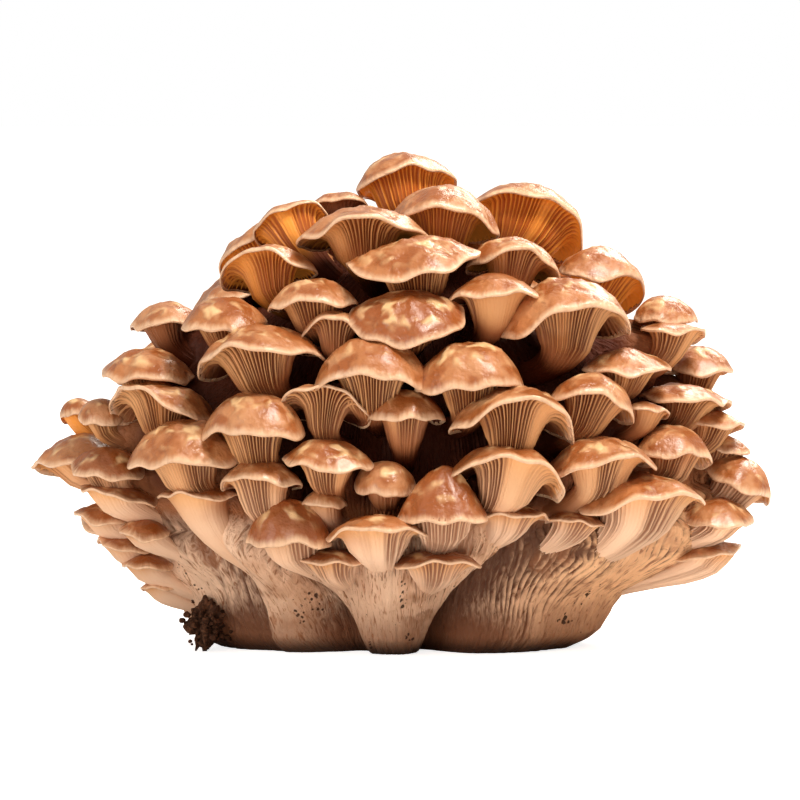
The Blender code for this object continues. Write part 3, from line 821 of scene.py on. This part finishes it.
def skin_material(look):
    """Damp orange-brown skin, darker at the crown, with streaks, cream spots and a pale margin."""
    made, tree, shader = new_material("damp_skin", 0.35, 0.35)
    reach, ripe, streak = stored(tree, "reach"), stored(tree, "ripe"), stored(tree, "streak", "Vector")
    colour = mixed(tree, ramped(tree, reach, 0.1, 0.8), look.crown, look.skin)
    colour = mixed(tree, ramped(tree, ripe, 0.0, 1.0, 0.0, 0.45), colour, look.skin_pale)
    colour = mixed(tree, ramped(tree, ripe, -1.0, 0.0, 1.0, 0.0), colour, look.crown)
    streaks = noise(tree, streak, 7.0, 4.0, 0.3)
    colour = mixed(tree, ramped(tree, streaks, 0.42, 0.66, 0.0, 0.3), colour, look.streak)
    patches = grouped(tree, "Soft Spots", {"Scale": 85.0, "Amount": 0.60, "Softness": 0.22})
    colour = mixed(tree, maths(tree, "MULTIPLY", patches, 0.82), colour, look.crown)
    pink = grouped(tree, "Soft Spots", {"Scale": 95.0, "Amount": 0.5, "Softness": 0.2})
    pale = maths(tree, "MULTIPLY", pink, ramped(tree, ripe, -1.0, 0.0, 0.15, 0.5))
    colour = mixed(tree, pale, colour, look.skin_pale)
    spots = grouped(tree, "Soft Spots", {"Scale": 120.0, "Amount": look.spots, "Softness": 0.24})
    band = ramped(tree, reach, 0.65, 0.92, 1.0, 0.0)
    band = maths(tree, "MULTIPLY", ramped(tree, reach, 0.05, 0.3), band)
    colour = mixed(tree, maths(tree, "MULTIPLY", spots, band), colour, look.spot)
    edge = maths(tree, "ADD", stored(tree, "margin"), maths(tree, "MULTIPLY", streaks, 0.6))
    colour = mixed(tree, ramped(tree, edge, 0.78, 1.42), colour, look.margin)
    put(tree, shader["Base Color"], colour)
    put(tree, shader["Roughness"], ramped(tree, patches, 0.0, 1.0, 0.48, 0.3))
    grain = grouped(tree, "Flesh Grain", {"Scale": 420.0})
    height = maths(tree, "ADD", grain, maths(tree, "MULTIPLY", spots, 0.8))
    height = maths(tree, "SUBTRACT", height, maths(tree, "MULTIPLY", patches, 0.4))
    put(tree, shader["Normal"], bumped(tree, height, 0.6, 0.0012))
    return made


def gill_material(look):
    """Gills with pale edges and painted shade in their valleys, pale flesh down the stem, and painted light
    glowing through some of them.
    """
    made, tree, shader = new_material("gills", 0.5, 0.12)
    reach, crease, glow = stored(tree, "reach"), stored(tree, "crease"), stored(tree, "glow")
    uneven = grouped(tree, "Soft Spots", {"Scale": 45.0, "Amount": 0.55, "Softness": 0.3})
    edge = mixed(tree, uneven, look.gill_edge, look.gill_tan)
    paler = maths(tree, "MULTIPLY", ramped(tree, reach, 0.12, 0.5), stored(tree, "ripe"))
    paler = maths(tree, "MAXIMUM", paler, ramped(tree, reach, 0.45, 0.95))
    edge = mixed(tree, paler, edge, look.flesh)
    edge = mixed(tree, ramped(tree, reach, 0.0, 0.07, 1.0, 0.0), edge, look.margin)
    pale = maths(tree, "MULTIPLY", stored(tree, "ripe"), 0.45)
    # Painted shade between the gills, paler on the trumpets that run down the base
    valley_shade = mixed(tree, pale, look.gill_valley_shade, look.fibre)
    colour = mixed(tree, ramped(tree, crease, 0.2, 1.0), edge, valley_shade)
    # Painted light: the colour of gills lit from behind, also given as emission so that they glow
    through = mixed(tree, ramped(tree, crease, 0.1, 0.9), look.glow_edge, look.glow_valley)
    colour = shadowed(tree, look, colour)
    glow = maths(tree, "MULTIPLY", glow, ramped(tree, reach, 0.3, 0.75, 1.0, 0.0))
    put(tree, shader["Base Color"], mixed(tree, glow, colour, through))
    put(tree, shader["Emission Color"], mixed(tree, glow, (0, 0, 0), through))
    shader["Emission Strength"].default_value = 0.13
    put(tree, shader["Normal"], bumped(tree, grouped(tree, "Flesh Grain", {"Scale": 500.0}), 0.3, 0.0006))
    return made


def flesh_material(look):
    """Fibrous cream flesh with painted shade in its creases, high up and near the ground, stained in places,
    with specks of dirt near the ground.
    """
    made, tree, shader = new_material("fibrous_flesh", 0.6, 0.05)
    crease, streak = stored(tree, "crease"), stored(tree, "streak", "Vector")
    place = add_node(tree, "ShaderNodeTexCoord").outputs["Object"]
    spot = add_node(tree, "ShaderNodeSeparateXYZ", {0: place}).outputs
    fibres = noise(tree, streak, 620.0, 5.0, 1.5)
    broad = noise(tree, place, 34.0, 3.0, 0.6)
    right = ramped(tree, spot["X"], 0.0, 0.11)
    colour = mixed(tree, right, look.flesh, look.flesh_warm)
    colour = mixed(tree, ramped(tree, broad, 0.45, 0.68, 0.0, 0.6), colour, look.fibre)
    dashes = ramped(tree, fibres, 0.54, 0.64, 0.0, 0.8)
    colour = mixed(tree, dashes, colour, look.fibre)
    colour = mixed(tree, ramped(tree, fibres, 0.62, 0.70, 0.0, 0.6), colour, look.stain_and_shade)
    # Painted shade in the creases, folds and pits, darker where the fibres dip
    sunk_shade = maths(tree, "ADD", crease, maths(tree, "MULTIPLY", maths(tree, "SUBTRACT", fibres, 0.5), 0.8))
    colour = mixed(tree, ramped(tree, sunk_shade, 0.25, 1.0, 0.0, 0.93), colour, look.crease)
    stains = grouped(tree, "Soft Spots", {"Scale": 46.0, "Amount": 0.40, "Softness": 0.1})
    stains = maths(tree, "MULTIPLY", stains, ramped(tree, fibres, 0.35, 0.6, 0.2, 0.75))
    colour = mixed(tree, stains, colour, look.stain_and_shade)
    # Painted shade: darker towards the ground
    low = ramped(tree, spot["Z"], 0.004, 0.03, 1.0, 0.0)
    colour = mixed(tree, maths(tree, "MULTIPLY", low, 0.65), colour, look.stain_and_shade)
    cells = add_node(tree, "ShaderNodeTexVoronoi", {"Vector": place, "Scale": 400.0}).outputs["Distance"]
    specks = maths(tree, "ADD", cells, maths(tree, "MULTIPLY", noise(tree, place, 150.0, 3.0), 1.7))
    specks = maths(tree, "SUBTRACT", specks, maths(tree, "MULTIPLY", stored(tree, "dirt"), 0.62))
    specks = ramped(tree, specks, 0.60, 0.78, 0.95, 0.0)
    colour = mixed(tree, specks, colour, look.dirt)
    # Painted shadow: a dark band where the base meets the ground
    foot = maths(tree, "MULTIPLY", ramped(tree, spot["Z"], 0.001, 0.010, 1.0, 0.0), 0.88)
    colour = mixed(tree, foot, colour, look.dirt)
    # Painted shade high up on the base, where it lies between the caps
    colour = mixed(tree, ramped(tree, spot["Z"], 0.09, 0.125, 0.0, 0.8), colour, look.stain_and_shade)
    put(tree, shader["Base Color"], shadowed(tree, look, colour))
    grain = grouped(tree, "Flesh Grain", {"Scale": 380.0})
    height = maths(tree, "ADD", grain, maths(tree, "MULTIPLY", fibres, 2.0))
    put(tree, shader["Normal"], bumped(tree, height, 0.7, 0.0013))
    return made


def soil_material(look):
    """Dark crumbly soil."""
    made, tree, shader = new_material("crumbly_soil", 0.9, 0.0)
    place = add_node(tree, "ShaderNodeTexCoord").outputs["Object"]
    crumbs = noise(tree, place, 420.0, 4.0)
    colour = mixed(tree, ramped(tree, crumbs, 0.4, 0.7), look.dirt, look.dirt_pale)
    put(tree, shader["Base Color"], colour)
    put(tree, shader["Normal"], bumped(tree, crumbs, 0.9, 0.002))
    return made


def material(name, look):
    """One of the materials, made when it is first wanted."""
    makers = {
        "damp_skin": skin_material,
        "gills": gill_material,
        "fibrous_flesh": flesh_material,
        "crumbly_soil": soil_material,
    }
    return bpy.data.materials.get(name) or makers[name](look)


# The fused base and the soil


def low_caps():
    """The caps that the base swells out to meet, and the middles of their margins."""
    found = [(cap, *front_place(cap)) for cap in LARGE_CAPS + YOUNG_CAPS]
    found += back_caps(LARGE_ROWS, "cap_back") + back_caps(YOUNG_ROWS, "bud_back")
    return [
        (cap, middle)
        for cap, middle, _ in found
        if middle[2] < (SIDE_CAPS if abs(middle[0]) > SIDES_FROM else LOW_CAPS)
    ]


def under_caps(turn, level):
    """How far the base swells out below the low caps, and the ribs that run down from their gills.

    Gives the swell in mm, the ribs' height from 0 to 1, and how near the ribs are to their gills.
    """
    radius = base_radius(turn, level)
    swell, ribs, nearest = np.zeros((3, *turn.shape))
    for cap, middle in low_caps():
        half, away = cap.half, math.hypot(middle[0], middle[1])
        below = middle[2] - 4.0 - level
        past = turn - math.atan2(middle[1], middle[0]) - math.radians(SLANTS.get(cap.name, 0.0)) * below
        aside = ((past + math.pi) % (2 * math.pi) - math.pi) * away / (0.68 * half)
        drawn = np.exp(-((below / np.where(below > 0, 1.3 * cap.drop, 5.0)) ** 2))
        reach = (away - 0.16 * half - radius).clip(0)
        swell = np.maximum(swell, reach * np.exp(-(aside**2)) * drawn)
        near = np.exp(-(aside**2) - np.abs(below) / (0.9 * half)) * GILLS.get(cap.name, 1.0)
        spread = aside * 0.68 * half / (1 - 0.3 * np.clip(below / half, 0, 1.5))
        ribs = np.where(near > nearest, 0.5 + 0.5 * np.sin(spread / RIB_WIDTH * 2 * np.pi), ribs)
        nearest = np.maximum(nearest, near)
    swell *= 1 - np.abs(np.cos(turn)) ** 0.7 * (1 - step_between(20, 58, level))
    return swell, ribs, nearest


def folds(degrees, level):
    """The depth of the base's folds, in mm, and the shade that lies beside them."""
    fold, shade = np.zeros((2, *level.shape))
    for heights, turns, steep, wide, depth in FOLDS:
        past = (degrees - np.interp(level, heights, turns)) * np.sign(steep)
        profile = np.exp(-((past / np.where(past > 0, abs(steep), wide)) ** 2))
        profile = profile * step_between(-10, 12, level) * (1 - step_between(70, 100, level))
        fold = np.maximum(fold, depth * profile)
        beside = np.where(past > 0, 1.5 * abs(steep), wide * (2.1 - 1.6 * step_between(0, 46, level)))
        shade = np.maximum(shade, np.exp(-((past / beside) ** 4)) * (1 - step_between(6, 56, level)))
    return fold, shade


def base_relief(turn, z, shape):
    """How far the base's skin stands out, how much painted shade lies in its creases, and how dirty it is.

    Under each low cap the base swells out to meet the cap's gills. Three folds lie where trunks overlap,
    steep on one side and wide on the other. Fibres are ridged noise, short round the base and long up it.
    Ridges that run down from the gills are waves round the base, bent by noise, strongest high up and on the
    right.
    """
    turn, level = np.broadcast_arrays(turn, z)
    degrees = np.degrees(turn)
    arc = turn * 100.0

    def stretched(across, up):
        return np.stack((arc / across, level / up, 0 * arc), -1)

    def patch(at, height, wide, tall, turn_size):
        return np.exp(-(((degrees - at) * turn_size / wide) ** 2) - ((level - height) / tall) ** 2)

    swell, ribs, nearest = under_caps(turn, level)
    fibre = 1 - np.abs(layered(stretched(3.2, 30.0), 3))
    fine = 1 - np.abs(layered(stretched(1.5, 11.0), 4))
    lumps = layered(stretched(24.0, 30.0), 8)
    bend = lattice(stretched(16.0, 13.0), 21)
    wave = 0.5 + 0.5 * np.sin(arc / 2.4 * 2 * np.pi + bend * 3.0)
    breaks = step_between(-0.35, 0.35, lattice(stretched(5.0, 9.0), 31))
    right = step_between(296, 318, degrees) * (1 - step_between(372, 392, degrees))
    low = 18 - 14 * right
    high = step_between(low, low + 32, level) * (0.25 + 0.75 * right) * (0.4 + 0.6 * breaks)
    wave = wave + (ribs - wave) * step_between(0.15, 0.4, nearest)
    high = np.maximum(high, 0.9 * step_between(0.1, 0.5, nearest))
    fold, shade = folds(degrees, level)
    pits = sum(depth * patch(*place, PIT_TURN) for *place, depth in PITS)
    dirt = np.max([patch(*place, DIRT_TURN) for place in DIRT], axis=0)
    rounded = np.clip(1 - level / 5.0, 0, 1) ** 2
    out = swell + shape.fibres * ((fibre - 0.7) * 1.3 + (fine - 0.7) * 0.6) + shape.lumps * lumps
    out += shape.ridges * high * (wave - 0.6) - fold - pits - 3.5 * rounded
    # Painted shade: darker in the ridges' valleys, the fibres' grooves, the folds and the pits, and beside
    # the folds
    crease = (0.85 + 0.5 * right) * high * (1 - wave) ** 2
    crease += (1 + 0.6 * right) * (0.9 * (0.72 - fibre).clip(0, 1) + 0.5 * (0.7 - fine).clip(0, 1))
    crease = crease * 0.8 + np.maximum(fold / 14.0, 1.1 * shade) + pits / 4.0
    return out, crease.clip(0, 1), dirt


def main_stem(stem, shape):
    """A main stem: the outside of the base between two forks, and two flat faces that meet inside."""
    start, end = math.radians(stem.start), math.radians(stem.end)
    columns = round((stem.end - stem.start) * shape.stem_columns)
    turn = np.linspace(start, end, columns)[None, :]
    top = np.linspace(94, BASE_HEIGHTS[-1], 16)
    z = np.concatenate((np.linspace(0, 8, 9), np.linspace(9, 90, 72), top))[:, None]
    out, crease, dirt = base_relief(turn, z, shape)
    r = base_radius(turn, z) + out
    outside = np.stack((r * np.cos(turn), r * np.sin(turn), np.broadcast_to(z, r.shape)), -1)
    inset = 0.05
    outside[:, 0] += np.array((-math.sin(start), math.cos(start), 0.0)) * inset
    outside[:, -1] += np.array((math.sin(end), -math.cos(end), 0.0)) * inset
    middle = (start + end) / 2
    corner = np.array((math.cos(middle), math.sin(middle), 0.0)) * inset / math.sin((end - start) / 2)
    corner = corner + z * (0, 0, 1)
    shares = np.array((0.35, 0.7))[None, :, None]
    back = outside[:, -1:] * (1 - shares) + corner[:, None] * shares
    forth = corner[:, None] * shares[:, ::-1] + outside[:, :1] * (1 - shares[:, ::-1])
    rings = np.concatenate((outside, back, corner[:, None], forth), 1)
    # The flat faces inside get full painted shade
    crease = np.concatenate((crease, np.ones((len(z), 5))), 1)
    dirt = np.concatenate((dirt, np.zeros((len(z), 5))), 1)
    arc = np.concatenate((np.broadcast_to(turn * 0.1, r.shape), np.full((len(z), 5), end * 0.1)), 1)
    streak = np.stack((arc, rings[..., 2] * MM * 0.22, 0 * arc), -1)
    foot, top = rings[0].mean(0), rings[-1].mean(0)
    top[2] = BASE_TOP
    return closed_grid(rings[::-1], top, foot, 0, crease=crease[::-1], streak=streak[::-1], dirt=dirt[::-1])


def lump(middle, half, around, rough, seed):
    """A lump of soil: a ball pushed in and out by noise, and cut flat at the ground."""
    turn = np.arange(around) * 2 * math.pi / around
    rise = np.linspace(math.pi / 2, -math.pi / 2, around // 2 + 2)[1:-1, None]
    ball = np.stack((np.cos(rise) * np.cos(turn), np.cos(rise) * np.sin(turn), np.sin(rise) + 0 * turn), -1)
    ends = np.array(((0, 0, 1.0), (0, 0, -1.0)))

    def placed(points):
        swell = 1 + rough * layered(points * 1.9 + seed, seed)
        swell = swell + 0.3 * rough * lattice(points * 7.0, seed + 3)
        made = points * swell[..., None] * half + middle
        made[..., 2] = np.maximum(made[..., 2], 0.0)
        return made

    top, bottom = placed(ends)
    return closed_grid(placed(ball), top, bottom, 0, crease=0.0)


# Settings


class ShapeSettings(bpy.types.PropertyGroup):
    """Forms of the mushrooms and of the base."""

    lip: FloatProperty(name="Lip", description="Thickness at a cap's margin, in mm", default=1.5)
    margin_ripple: FloatProperty(name="Ripple", description="Waves in a margin's outline", default=0.05)
    margin_lift: FloatProperty(name="Lift", description="Waves of a margin up and down", default=0.08)
    spread: FloatProperty(name="Spread", description="A cap's reach over that of its solid", default=1.08)
    stem_least: FloatProperty(name="Least Stem", description="Radius of a thin stem, in mm", default=2.5)
    stem_share: FloatProperty(name="Stem Share", description="Its radius by the cap's", default=0.12)
    gill_width: FloatProperty(name="Gill Width", description="From gill to gill, in mm", default=2.6)
    gill_depth: FloatProperty(name="Gill Depth", description="Depth of large gills, in mm", default=2.6)
    stem_columns: FloatProperty(name="Columns", description="Columns for a degree of a stem", default=3.2)
    fibres: FloatProperty(name="Fibres", description="Height of the base's fibres, in mm", default=1.7)
    lumps: FloatProperty(name="Lumps", description="Height of the base's lumps, in mm", default=3.2)
    ridges: FloatProperty(name="Ridges", description="Height of the base's ridges, in mm", default=2.8)
    crumbs: IntProperty(name="Crumbs", description="Loose crumbs round the lump of soil", default=46)


def colour_property(name, description, default):
    return FloatVectorProperty(
        name=name, description=description, default=default, size=3, subtype="COLOR", min=0, max=1
    )


class LookSettings(bpy.types.PropertyGroup):
    """Colours, in linear light."""

    crown: colour_property("Crown", "Skin at the crown", (0.31, 0.08, 0.015))
    skin: colour_property("Skin", "Skin half way out", (0.47, 0.17, 0.053))
    skin_pale: colour_property("Pale Skin", "Skin of the paler caps", (0.61, 0.30, 0.14))
    streak: colour_property("Streak", "Dark streaks away from the crown", (0.36, 0.12, 0.035))
    spot: colour_property("Spot", "Cream spots", (0.84, 0.54, 0.27))
    margin: colour_property("Margin", "The cap's margin", (0.82, 0.53, 0.33))
    gill_edge: colour_property("Gill Edge", "A gill's free edge", (0.78, 0.40, 0.17))
    gill_tan: colour_property("Gill Tan", "A gill's free edge, in places", (0.58, 0.24, 0.08))
    # Painted shade between two gills
    gill_valley_shade: colour_property("Gill Valley", "Between two gills", (0.12, 0.025, 0.005))
    # Painted light: gills painted orange and glowing, as if lit through
    glow_edge: colour_property("Glowing Edge", "A gill's edge, with light through it", (0.88, 0.33, 0.045))
    glow_valley: colour_property("Glowing Valley", "Between gills, with light", (0.40, 0.09, 0.007))
    flesh: colour_property("Flesh", "The base and the stems", (0.88, 0.60, 0.42))
    flesh_warm: colour_property("Warm Flesh", "The base on the right", (0.86, 0.50, 0.27))
    fibre: colour_property("Fibre", "Fibres of the base", (0.52, 0.26, 0.14))
    # Painted shade in the base's creases, folds and pits
    crease: colour_property("Crease", "Creases of the base", (0.095, 0.03, 0.014))
    # Damp stains, and also the painted shade high on the base and near the ground
    stain_and_shade: colour_property("Stain", "Damp stains on the base", (0.30, 0.12, 0.055))
    # Painted shade, half way into the cluster and deep in it
    shadow: colour_property("Shadow", "Everything half way into the cluster", (0.42, 0.16, 0.065))
    depth_shade: colour_property("Depths", "Everything deep in the cluster", (0.09, 0.018, 0.005))
    dirt: colour_property("Dirt", "Soil", (0.045, 0.017, 0.008))
    dirt_pale: colour_property("Pale Dirt", "Dry crumbs of soil", (0.13, 0.055, 0.028))
    spots: FloatProperty(name="Spots", description="Amount of cream spots on the skin", default=0.50)


class StageSettings(bpy.types.PropertyGroup):
    """The camera and the lights."""

    rise: FloatProperty(name="Rise", description="Above the horizon", default=VIEW_RISE, subtype="ANGLE")
    distance: FloatProperty(name="Distance", description="Camera to cluster", default=6.0, unit="LENGTH")
    field: FloatProperty(name="Field", description="Width at the cluster", default=0.4, unit="LENGTH")
    aim: FloatVectorProperty(name="Aim", description="Right and up", default=(-0.0015, 0.122), size=2)
    key: FloatProperty(name="Key", description="Power of the light at the top right, in W", default=22.0)
    rim: FloatProperty(name="Rim", description="Power of the light behind, in W", default=14.0)
    fill: FloatProperty(name="Fill", description="Power of the light at the front left, in W", default=9.0)
    sky: FloatProperty(name="Sky", description="Brightness of the white surroundings", default=0.5)


# Pieces


def add_cap(place, shape, look, seed, sizes):
    """Adds one large cap as a piece of its own."""
    name = place[0].name
    materials = [material("damp_skin", look), material("gills", look)]
    add_piece(f"{name}_skin", mushroom(*place, shape, seed, sizes), materials, [name])


class CLUSTER_OT_front_caps(bpy.types.Operator):
    """Add the large caps of the front and sides"""

    bl_idname = "cluster.front_caps"
    bl_label = "Front Caps"

    def execute(self, context):
        shape, look = context.scene.cluster_shape, context.scene.cluster_look
        for i, cap in enumerate(LARGE_CAPS):
            add_cap((cap, *front_place(cap)), shape, look, 100 + i, (88, 17, 16))
        return {"FINISHED"}


class CLUSTER_OT_back_caps(bpy.types.Operator):
    """Add the large caps of the back"""

    bl_idname = "cluster.back_caps"
    bl_label = "Back Caps"

    def execute(self, context):
        shape, look = context.scene.cluster_shape, context.scene.cluster_look
        for i, place in enumerate(back_caps(LARGE_ROWS, "cap_back")):
            add_cap(place, shape, look, 200 + i, (64, 12, 12))
        return {"FINISHED"}


class CLUSTER_OT_young_caps(bpy.types.Operator):
    """Add the young caps that are fused to each main stem"""

    bl_idname = "cluster.young_caps"
    bl_label = "Young Caps"

    def execute(self, context):
        shape, look = context.scene.cluster_shape, context.scene.cluster_look
        materials = [material("damp_skin", look), material("gills", look)]
        young = [(cap, *front_place(cap)) for cap in YOUNG_CAPS + CROWN_CAPS]
        young += back_caps(YOUNG_ROWS, "bud_back") + back_caps(SMALL_ROWS, "bud_small")
        for stem in STEMS:
            surfaces = []
            for i, place in enumerate(young):
                if stem_of(place[1]) is stem:
                    surfaces += mushroom(*place, shape, 300 + i, (48, 12, 12))
            add_piece(f"young_caps_on_{stem.name}", surfaces, materials, [stem.name])
        return {"FINISHED"}


class CLUSTER_OT_main_stems(bpy.types.Operator):
    """Add the five main stems of the fused base"""

    bl_idname = "cluster.main_stems"
    bl_label = "Main Stems"

    def execute(self, context):
        materials = [material("fibrous_flesh", context.scene.cluster_look)]
        for stem in STEMS:
            surfaces = [main_stem(stem, context.scene.cluster_shape)]
            add_piece(f"{stem.name}_flesh", surfaces, materials, [stem.name])
        return {"FINISHED"}


class CLUSTER_OT_soil(bpy.types.Operator):
    """Add the clump of soil and its crumbs"""

    bl_idname = "cluster.soil"
    bl_label = "Soil"

    def execute(self, context):
        random = np.random.default_rng(SEED)
        surfaces = [lump(SOIL_MIDDLE, np.array(SOIL_HALF) * SOIL_SHARE, 110, 0.9, 15)]
        for i in range(context.scene.cluster_shape.crumbs):
            size = random.uniform(0.5, 2.4)
            turn, out = random.uniform(0, 2 * math.pi), random.uniform(0.6, 1.2)
            rise = random.uniform(-0.8, 1.0)
            level = math.sqrt(max(0.0, 1 - rise * rise))
            way = np.array((math.cos(turn) * level, math.sin(turn) * level, rise))
            spot = way * out * SOIL_HALF + SOIL_MIDDLE
            surfaces.append(lump(spot, (size, size, size * 0.8), 12, 0.4, 40 + i))
        materials = [material("crumbly_soil", context.scene.cluster_look)]
        add_piece("soil_clump_crumbs", surfaces, materials, ["soil_clump"])
        return {"FINISHED"}


class CLUSTER_OT_stage(bpy.types.Operator):
    """Add the floor, the lights and the camera"""

    bl_idname = "cluster.stage"
    bl_label = "Stage"

    def execute(self, context):
        scene, stage = context.scene, context.scene.cluster_stage
        corners = [(-4, -4, 0), (4, -4, 0), (4, 4, 0), (-4, 4, 0)]
        mesh = bpy.data.meshes.new("floor")
        mesh.from_pydata(corners, [], [(0, 1, 2, 3)])
        pale = bpy.data.materials.new("floor")
        pale.use_nodes = True
        shader = pale.node_tree.nodes["Principled BSDF"].inputs
        shader["Base Color"].default_value = (0.93, 0.93, 0.93, 1)
        shader["Roughness"].default_value = 0.9
        shader["Emission Color"].default_value = (1, 1, 1, 1)
        seen = pale.node_tree.nodes.new("ShaderNodeLightPath").outputs["Is Camera Ray"]
        put(pale.node_tree, shader["Emission Strength"], maths(pale.node_tree, "MULTIPLY", seen, 0.8))
        mesh.materials.append(pale)
        floor = bpy.data.objects.new("floor", mesh)
        scene.collection.objects.link(floor)
        world = bpy.data.worlds.new("white surroundings")
        world.use_nodes = True
        sky = world.node_tree.nodes["Background"]
        seen = world.node_tree.nodes.new("ShaderNodeLightPath").outputs["Is Camera Ray"]
        colour = mixed(world.node_tree, seen, WARM_SKY, (1, 1, 1))
        put(world.node_tree, sky.inputs["Color"], colour)
        brightness = ramped(world.node_tree, seen, 0.0, 1.0, stage.sky, 1.0)
        put(world.node_tree, sky.inputs["Strength"], brightness)
        scene.world = world
        scene.view_settings.view_transform = "Standard"
        aim = np.array((0.0, CENTRE[1] * MM, 0.1))
        lights = (
            ("key", (0.55, -0.45, 1.35), 0.45, stage.key, (1.0, 0.93, 0.84)),
            ("rim", (0.55, 1.0, 1.0), 0.6, stage.rim, (1.0, 0.90, 0.78)),
            ("fill", (-1.2, -1.2, 0.5), 1.0, stage.fill, (1.0, 0.95, 0.90)),
        )
        for name, place, size, power, colour in lights:
            lamp = bpy.data.lights.new(name, "AREA")
            lamp.size = size
            lamp.energy = power
            lamp.color = colour
            holder = bpy.data.objects.new(name, lamp)
            holder.location = place
            holder.rotation_euler = Vector(aim - place).to_track_quat("-Z", "Y").to_euler()
            scene.collection.objects.link(holder)
        camera = bpy.data.objects.new("camera", bpy.data.cameras.new("camera"))
        lens = camera.data
        lens.sensor_width = 36.0
        lens.lens = 36.0 * stage.distance / stage.field
        lens.clip_end = 100.0
        up = np.array((0.0, math.sin(stage.rise), math.cos(stage.rise)))
        away = np.array((0.0, -math.cos(stage.rise), math.sin(stage.rise)))
        camera.location = stage.aim[0] * np.array((1, 0, 0)) + stage.aim[1] * up + stage.distance * away
        camera.rotation_euler = (math.pi / 2 - stage.rise, 0.0, 0.0)
        scene.collection.objects.link(camera)
        scene.camera = camera
        return {"FINISHED"}


class CLUSTER_PT_panel(bpy.types.Panel):
    """The cluster's settings and pieces"""

    bl_idname = "CLUSTER_PT_panel"
    bl_label = "Mushroom Cluster"
    bl_space_type = "VIEW_3D"
    bl_region_type = "UI"
    bl_category = "Mushrooms"

    def draw(self, context):
        for group in GROUPS:
            settings = getattr(context.scene, group)
            box = self.layout.box()
            box.label(text=group)
            for name in settings.__annotations__:
                box.prop(settings, name)
        for operator in OPERATORS:
            self.layout.operator(operator.bl_idname)


GROUPS = {"cluster_shape": ShapeSettings, "cluster_look": LookSettings, "cluster_stage": StageSettings}
OPERATORS = (
    CLUSTER_OT_main_stems,
    CLUSTER_OT_young_caps,
    CLUSTER_OT_front_caps,
    CLUSTER_OT_back_caps,
    CLUSTER_OT_soil,
    CLUSTER_OT_stage,
)


def register():
    for made in (*GROUPS.values(), *OPERATORS, CLUSTER_PT_panel):
        bpy.utils.register_class(made)
    for name, group in GROUPS.items():
        setattr(bpy.types.Scene, name, PointerProperty(type=group))


def unregister():
    for name in GROUPS:
        delattr(bpy.types.Scene, name)
    for made in (CLUSTER_PT_panel, *reversed(OPERATORS), *reversed(GROUPS.values())):
        bpy.utils.unregister_class(made)


def main():
    register()
    bpy.ops.cluster.main_stems()
    bpy.ops.cluster.young_caps()
    bpy.ops.cluster.front_caps()
    bpy.ops.cluster.back_caps()
    bpy.ops.cluster.soil()
    bpy.ops.cluster.stage()


if __name__ == "__main__":
    main()
